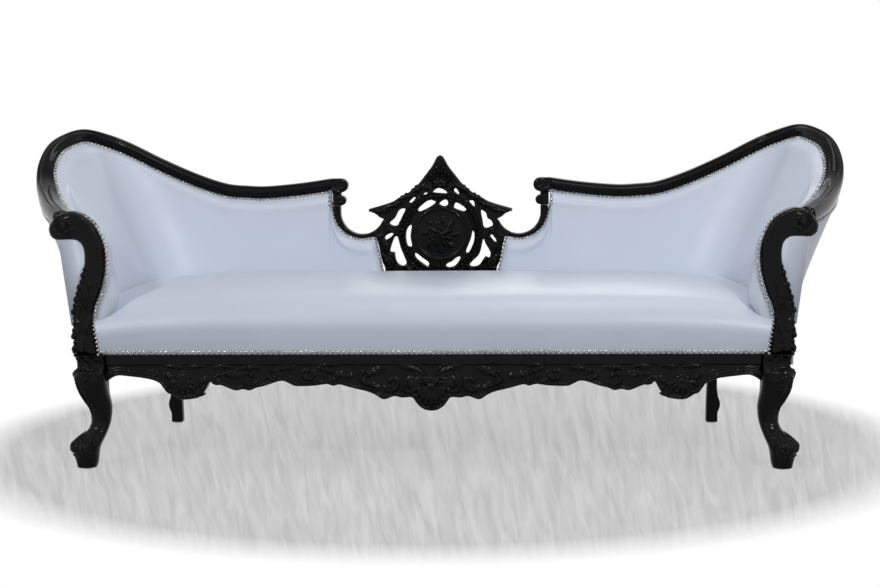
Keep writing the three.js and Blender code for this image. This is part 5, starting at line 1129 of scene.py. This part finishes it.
class Nodes:
    """Short ways to build a material's nodes."""

    def __init__(self, name):
        self.material = bpy.data.materials.new(name)
        self.material.use_nodes = True
        self.tree = self.material.node_tree
        self.shader = self.tree.nodes["Principled BSDF"]
        self.output = self.tree.nodes["Material Output"]
        self.place = self.tree.nodes.new("ShaderNodeTexCoord").outputs["Object"]

    def add(self, kind, **values):
        node = self.tree.nodes.new("ShaderNode" + kind)
        for key, value in values.items():
            if hasattr(node, key):
                setattr(node, key, value)
            else:
                self.put(node.inputs[key.replace("_", " ")], value)
        return node

    def put(self, socket, value):
        if isinstance(value, bpy.types.NodeSocket):
            self.tree.links.new(value, socket)
        else:
            socket.default_value = value

    def noise(self, scale, detail=3, roughness=0.55, stretch=None):
        where = self.place
        if stretch:
            where = self.add("Mapping", Vector=where, Scale=stretch).outputs[0]
        node = self.add("TexNoise", Vector=where, Scale=scale, Detail=detail, Roughness=roughness)
        return node.outputs["Fac"]

    def span(self, value, low, high, start=0.3, end=0.7):
        """Value whose range from start to end becomes low to high."""
        node = self.add("MapRange", Value=value)
        for key, number in (("From Min", start), ("From Max", end), ("To Min", low), ("To Max", high)):
            node.inputs[key].default_value = number
        return node.outputs[0]

    def ramp(self, value, *stops):
        node = self.add("ValToRGB", Fac=value)
        ramp = node.color_ramp
        while len(ramp.elements) < len(stops):
            ramp.elements.new(0.5)
        for element, (spot, colour) in zip(ramp.elements, stops):
            element.position = spot
            element.color = (*colour, 1)
        return node.outputs["Color"]

    def mix(self, fac, a, b, blend="MIX"):
        node = self.add("Mix", data_type="RGBA", blend_type=blend)
        self.put(node.inputs["Factor"], fac)
        for socket, value in ((node.inputs[6], a), (node.inputs[7], b)):
            self.put(socket, (*value, 1) if isinstance(value, tuple) else value)
        return node.outputs[2]

    def math(self, operation, a, b=0.5):
        node = self.add("Math", operation=operation)
        self.put(node.inputs[0], a)
        self.put(node.inputs[1], b)
        return node.outputs[0]

    def bump(self, height, strength, distance, normal=None):
        node = self.add("Bump", Height=height, Strength=strength, Distance=distance)
        if normal:
            self.put(node.inputs["Normal"], normal)
        return node.outputs["Normal"]

    def blend(self, fac, first, second):
        """Mix of two shaders."""
        node = self.add("MixShader")
        for socket, value in zip(node.inputs, (fac, first, second)):
            self.put(socket, value)
        return node.outputs[0]

    def finish(self, colour, roughness, normal=None, **plain):
        self.put(self.shader.inputs["Base Color"], colour)
        self.put(self.shader.inputs["Roughness"], roughness)
        if normal:
            self.put(self.shader.inputs["Normal"], normal)
        for key, value in plain.items():
            self.shader.inputs[key.replace("_", " ")].default_value = value
        return self.material


def lacquer(name, ripple):
    """Black lacquer. ripple is how much the brush and the chisel show through it."""
    kit = Nodes(name)
    edge = kit.add("NewGeometry").outputs["Pointiness"]
    worn = kit.span(edge, 0, 1, 0.53, 0.62)
    base = kit.ramp(kit.noise(9, 4), (0.3, (0.0022, 0.0022, 0.0022)), (0.7, (0.0042, 0.0041, 0.004)))
    speck = kit.span(kit.noise(260, 2), 0, 1, 0.62, 0.75)
    worn = kit.math("MULTIPLY", worn, kit.span(kit.noise(40, 4), 0.05, 0.4))
    colour = kit.mix(worn, base, (0.022, 0.018, 0.015))
    colour = kit.mix(kit.math("MULTIPLY", speck, 0.1), colour, (0.03, 0.03, 0.031))
    rough = kit.span(kit.noise(22, 5), 0.07, 0.16)
    grain = kit.bump(kit.noise(150, 3), ripple, 0.002)
    fine = kit.bump(kit.noise(700, 2), 0.05, 0.0002, grain)
    return kit.finish(colour, rough, fine, Specular_IOR_Level=0.11)


def leather(name, tone):
    kit = Nodes(name)
    cells = kit.add("TexVoronoi", Vector=kit.place, Scale=620.0, feature="DISTANCE_TO_EDGE")
    cells = cells.outputs["Distance"]
    small = kit.add("TexVoronoi", Vector=kit.place, Scale=1500.0).outputs["Distance"]
    soft = kit.noise(5, 3)
    cloud = kit.ramp(soft, (0.3, tuple(c * 0.965 for c in tone)), (0.7, tone))
    creases = kit.span(kit.noise(30, 5, 0.62, (1, 1, 0.5)), 0, 1, 0.44, 0.5)
    pores = kit.span(cells, 0.93, 1.0, 0.0, 0.12)
    colour = kit.mix(1.0, cloud, kit.ramp(pores, (0, (0.9, 0.9, 0.9)), (1, (1, 1, 1))), "MULTIPLY")
    rough = kit.math("ADD", kit.span(kit.noise(14, 4), 0.3, 0.42), kit.span(small, -0.03, 0.03, 0.1, 0.6))
    grain = kit.bump(kit.span(cells, 0, 1, 0, 0.2), 0.16, 0.0004)
    wrinkle = kit.bump(creases, 0.035, 0.0015, grain)
    sway = kit.bump(kit.noise(7, 2), 0.25, 0.004, wrinkle)
    return kit.finish(colour, rough, sway, Specular_IOR_Level=0.5, Sheen_Weight=0.06)


def metal(name, light, dark, rough_low, rough_high):
    kit = Nodes(name)
    tone = kit.ramp(kit.noise(35, 4), (0.3, dark), (0.7, light))
    # Where the surface is hollow the colour goes to a third of the dark tone: painted shade.
    edge = kit.span(kit.add("NewGeometry").outputs["Pointiness"], 0, 1, 0.42, 0.5)
    colour = kit.mix(edge, tuple(c * 0.35 for c in dark), tone)
    rough = kit.span(kit.noise(120, 3), rough_low, rough_high)
    return kit.finish(colour, rough, kit.bump(kit.noise(400, 2), 0.08, 0.0002), Metallic=1.0)


def wood():
    kit = Nodes("beech")
    grain = kit.noise(30, 6, 0.6, (0.12, 1, 1))
    colour = kit.ramp(grain, (0.3, (0.36, 0.2, 0.095)), (0.5, (0.46, 0.28, 0.14)), (0.72, (0.54, 0.35, 0.19)))
    flecks = kit.span(kit.noise(420, 2, 0.5, (0.1, 1, 1)), 0, 0.5, 0.6, 0.7)
    colour = kit.mix(flecks, colour, (0.24, 0.12, 0.05))
    return kit.finish(colour, kit.span(grain, 0.5, 0.7), kit.bump(grain, 0.15, 0.0008))


def cloth(name, warp, weft, threads, rough=0.85):
    kit = Nodes(name)
    bands = []
    for direction in ("X", "Y"):
        wave = kit.add("TexWave", Vector=kit.place, Scale=float(threads), Distortion=0.4, Detail=2.0)
        wave.bands_direction = direction
        bands.append(wave.outputs["Fac"])
    weave = kit.math("MAXIMUM", *bands)
    tone = kit.mix(bands[0], warp, weft)
    colour = kit.mix(kit.span(kit.noise(70, 4), 0, 0.4), tone, tuple(c * 0.6 for c in warp))
    rough = kit.span(weave, rough, rough + 0.1, 0, 1)
    return kit.finish(colour, rough, kit.bump(weave, 0.5, 0.0008), Sheen_Weight=0.15)


black, carved_black = lacquer("lacquer", 0.02), lacquer("carved_lacquer", 0.32)
hide = leather("leather", (0.66, 0.715, 0.83))
studs = metal("nail_metal", (0.4, 0.395, 0.38), (0.19, 0.187, 0.18), 0.1, 0.2)
steel = metal("steel", (0.56, 0.56, 0.56), (0.4, 0.4, 0.4), 0.3, 0.5)
beech = wood()
webbing = cloth("webbing", (0.5, 0.38, 0.22), (0.6, 0.48, 0.3), 520)
hessian = cloth("hessian", (0.42, 0.31, 0.18), (0.52, 0.4, 0.25), 340)
dark_cloth = cloth("dust_cloth", (0.012, 0.012, 0.013), (0.02, 0.02, 0.021), 460)


# The pieces, each in place of its CAD node


def finish_piece(obj, material, slot, *nodes):
    """Gives a piece its material and its body, and hides the CAD nodes that it stands for. slot is not used.
    """
    obj.data.materials.clear()
    obj.data.materials.append(material)
    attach(obj, "root")
    if nodes:
        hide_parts(*nodes)
    return obj


def mirror_copy(obj, name):
    mesh = obj.data.copy()
    mesh.transform(Matrix.Diagonal((-1, 1, 1, 1)))
    mesh.flip_normals()
    return new_object(name, mesh)


def pair(obj, name, material, slot, *nodes):
    """A piece and its mirror image, named and placed for the right and the left."""
    obj.name = "right_" + name
    left = mirror_copy(obj, "left_" + name)
    finish_piece(obj, material, slot, *["right_" + node for node in nodes])
    finish_piece(left, material, slot, *["left_" + node for node in nodes])
    return obj, left


rail = finish_piece(carve(front_rail(), 0.0016), carved_black, "lacquer", "front_seat_rail")
rail.name = "carved_front_rail"
pair(carve(front_leg(), 0.0013), "carved_leg", carved_black, "lacquer", "front_leg")
pair(carve(arm_post(), 0.0013), "carved_arm_post", black, "lacquer", "arm_post")
pair(carve(terminal(), 0.0012), "carved_terminal", carved_black, "lacquer", "terminal_scroll")
pair(carve(crest_arm(), 0.0012), "moulded_crest_arm", black, "lacquer", "crest_arm")
finish_piece(crest(), carved_black, "lacquer", "crest").name = "carved_crest"
rosette = finish_piece(carve(medallion(), 0.0009), carved_black, "lacquer", "crest_medallion")
rosette.name = "carved_medallion"
pair(mesh_object("rail", *top_rail()), "moulded_top_rail", black, "lacquer", "top_rail")
pair(rear_leg(), "shaped_rear_leg", black, "lacquer", "rear_leg")

tub = mesh_object("pad", *inside_pad(0, pad_stations - 1))
for obj in pair(tub, "tub_leather", hide, "leather", "inside_back", "inside_arm_pad"):
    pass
# The outside leather has a seam behind the ear.
outside_seam, seam_half = 18, 0.004
back_panel = mesh_object("panel", *outside_panel(0, outside_seam - seam_half))
pair(back_panel, "back_panel", hide, "leather", "outside_back")
arm_panel = mesh_object("panel", *outside_panel(outside_seam + seam_half, panel_end))
pair(arm_panel, "arm_panel", hide, "leather", "outside_arm")
seat = finish_piece(mesh_object("stuffed_seat", *seat_cushion()), hide, "leather", "seat_cushion")
finish_piece(mesh_object("nail_heads", *nail_runs()), studs, "steel")

# The CAD's pieces that stay in view are beech, or what a word in their name tells.
FRAME_FINISHES = {
    "glide": steel, "webbing": webbing, "deck": hessian, "dust": dark_cloth, "panel": hide,
    "side_seat_rail": black, "rear_seat_rail": black, "lower_back_rail": black, "stile": black,
}
for name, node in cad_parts.items():
    told = [material for word, material in FRAME_FINISHES.items() if word in name]
    node.data.materials.clear()
    node.data.materials.append(told[-1] if told else beech)


# Floor, light and camera


CAMERA_PLACE, CAMERA_LENS = (0.226, -4.737, 0.926), 71.6
CAMERA_YAW, CAMERA_PITCH, CAMERA_ROLL = 2.61, 6.12, 0.47
# Floor pattern: where it spreads from, how many lines lie side by side and behind each other, and their lean.
LINES_FROM = (0.23, -4.74, 0.93)
LINES_ACROSS, LINES_BACK, LINE_LEAN = 210.0, 42.0, 0.17


def seen_ray(tree):
    """1 for rays that show the background: from the camera, or through gloss or glass."""
    path = tree.nodes.new("ShaderNodeLightPath")
    value = path.outputs["Is Camera Ray"]
    for name in ("Is Glossy Ray", "Is Transmission Ray"):
        most = tree.nodes.new("ShaderNodeMath")
        most.operation = "MAXIMUM"
        tree.links.new(value, most.inputs[0])
        tree.links.new(path.outputs[name], most.inputs[1])
        value = most.outputs[0]
    return value


def floor():
    """Pale ground that fades out to white. The light on it is held low, and what is seen of it is lifted."""
    obj = mesh_object("floor", [(-9, -9, 0), (9, -9, 0), (9, 9, 0), (-9, 9, 0)], [(0, 1, 2, 3)])
    kit = Nodes("floor")
    # Fine wavy lines that spread from under the camera and lean a little.
    where = kit.add("SeparateXYZ", Vector=kit.place).outputs
    from_x, from_y, from_height = LINES_FROM
    away = kit.math("SUBTRACT", where["Y"], from_y)
    row = kit.math("DIVIDE", from_height, away)
    line = kit.math("DIVIDE", kit.math("SUBTRACT", where["X"], from_x), away)
    line = kit.math("SUBTRACT", line, kit.math("MULTIPLY", row, LINE_LEAN))
    line, row = kit.math("MULTIPLY", line, LINES_ACROSS), kit.math("MULTIPLY", row, LINES_BACK)
    spread = kit.add("CombineXYZ", X=line, Y=row).outputs[0]
    waves = kit.add("TexNoise", Vector=spread, Scale=1.0, Detail=2.0, Distortion=0.7)
    tone = kit.ramp(waves.outputs["Fac"], (0.3, (0.62, 0.62, 0.62)), (0.7, (0.77, 0.77, 0.77)))
    kit.finish(kit.mix(1.0, tone, (0.6, 0.6, 0.6), "MULTIPLY"), 0.8, Specular_IOR_Level=0.1)
    # The pattern ends in an oval round the settee.
    oval = kit.add("Mapping", Vector=kit.place, Location=(0, -0.08, 0), Scale=(0.8, 0.78, 1)).outputs[0]
    length = kit.add("VectorMath", operation="LENGTH")
    kit.put(length.inputs[0], oval)
    fade = kit.span(length.outputs["Value"], 0, 1, 0.94, 1.08)
    seen = seen_ray(kit.tree)
    ground, white = kit.add("Emission", Color=tone), kit.add("Emission", Color=(1, 1, 1, 1))
    shown = kit.blend(kit.math("MULTIPLY", seen, 0.74), kit.shader.outputs[0], ground.outputs[0])
    shown = kit.blend(kit.math("MULTIPLY", fade, seen), shown, white.outputs[0])
    kit.put(kit.output.inputs["Surface"], shown)
    obj.data.materials.append(kit.material)
    return obj


floor()

world = bpy.data.worlds.new("studio")
world.use_nodes = True
bpy.context.scene.world = world
tree = world.node_tree
sky = tree.nodes["Background"]
sky.inputs["Color"].default_value = (0.96, 0.98, 1, 1)
sky.inputs["Strength"].default_value = 0.17
bright = tree.nodes.new("ShaderNodeBackground")
bright.inputs["Color"].default_value = (1, 1, 1, 1)
blend = tree.nodes.new("ShaderNodeMixShader")
for source, socket in zip((seen_ray(tree), sky.outputs[0], bright.outputs[0]), blend.inputs):
    tree.links.new(source, socket)
tree.links.new(blend.outputs[0], tree.nodes["World Output"].inputs["Surface"])


def lamp(name, spot, aim, size, power):
    light = bpy.data.lights.new(name, "AREA")
    light.shape, light.size, light.size_y = "RECTANGLE", size[0], size[1]
    light.energy = power
    obj = new_object(name, light)
    obj.location = spot
    obj.rotation_euler = (Vector(aim) - Vector(spot)).to_track_quat("-Z", "Y").to_euler()


lamp("key", (-2.5, -3.5, 3.1), (0.1, 0, 0.5), (0.5, 0.4), 56)
lamp("fill", (1.9, -3.6, 2.7), (0.6, 0, 0.5), (0.5, 0.4), 58)
lamp("top", (0.5, -0.2, 3.4), (0.1, 0, 0.3), (1.8, 0.8), 20)
lamp("back", (0.6, 3.2, 2.6), (0, 0, 0.6), (2.0, 1.0), 20)

camera = bpy.data.cameras.new("photo_camera")
camera.sensor_fit, camera.sensor_width, camera.lens = "HORIZONTAL", 36, CAMERA_LENS
yaw, pitch, roll = (math.radians(angle) for angle in (CAMERA_YAW, CAMERA_PITCH, CAMERA_ROLL))
right = np.array([math.cos(yaw), math.sin(yaw), 0])
level = np.array([-math.sin(yaw), math.cos(yaw), 0])
ahead = level * math.cos(pitch) - np.array([0, 0, math.sin(pitch)])
above = level * math.sin(pitch) + np.array([0, 0, math.cos(pitch)])
across_view = math.cos(roll) * right - math.sin(roll) * above
up_view = math.sin(roll) * right + math.cos(roll) * above
view = new_object("photo_camera", camera)
turned = Matrix([across_view, up_view, -ahead]).transposed().to_4x4()
view.matrix_world = Matrix.Translation(CAMERA_PLACE) @ turned
bpy.context.scene.camera = view
bpy.context.scene.view_settings.view_transform = "Standard"


def plain(boxes):
    return [[float(number) for number in corner] for corner in boxes]
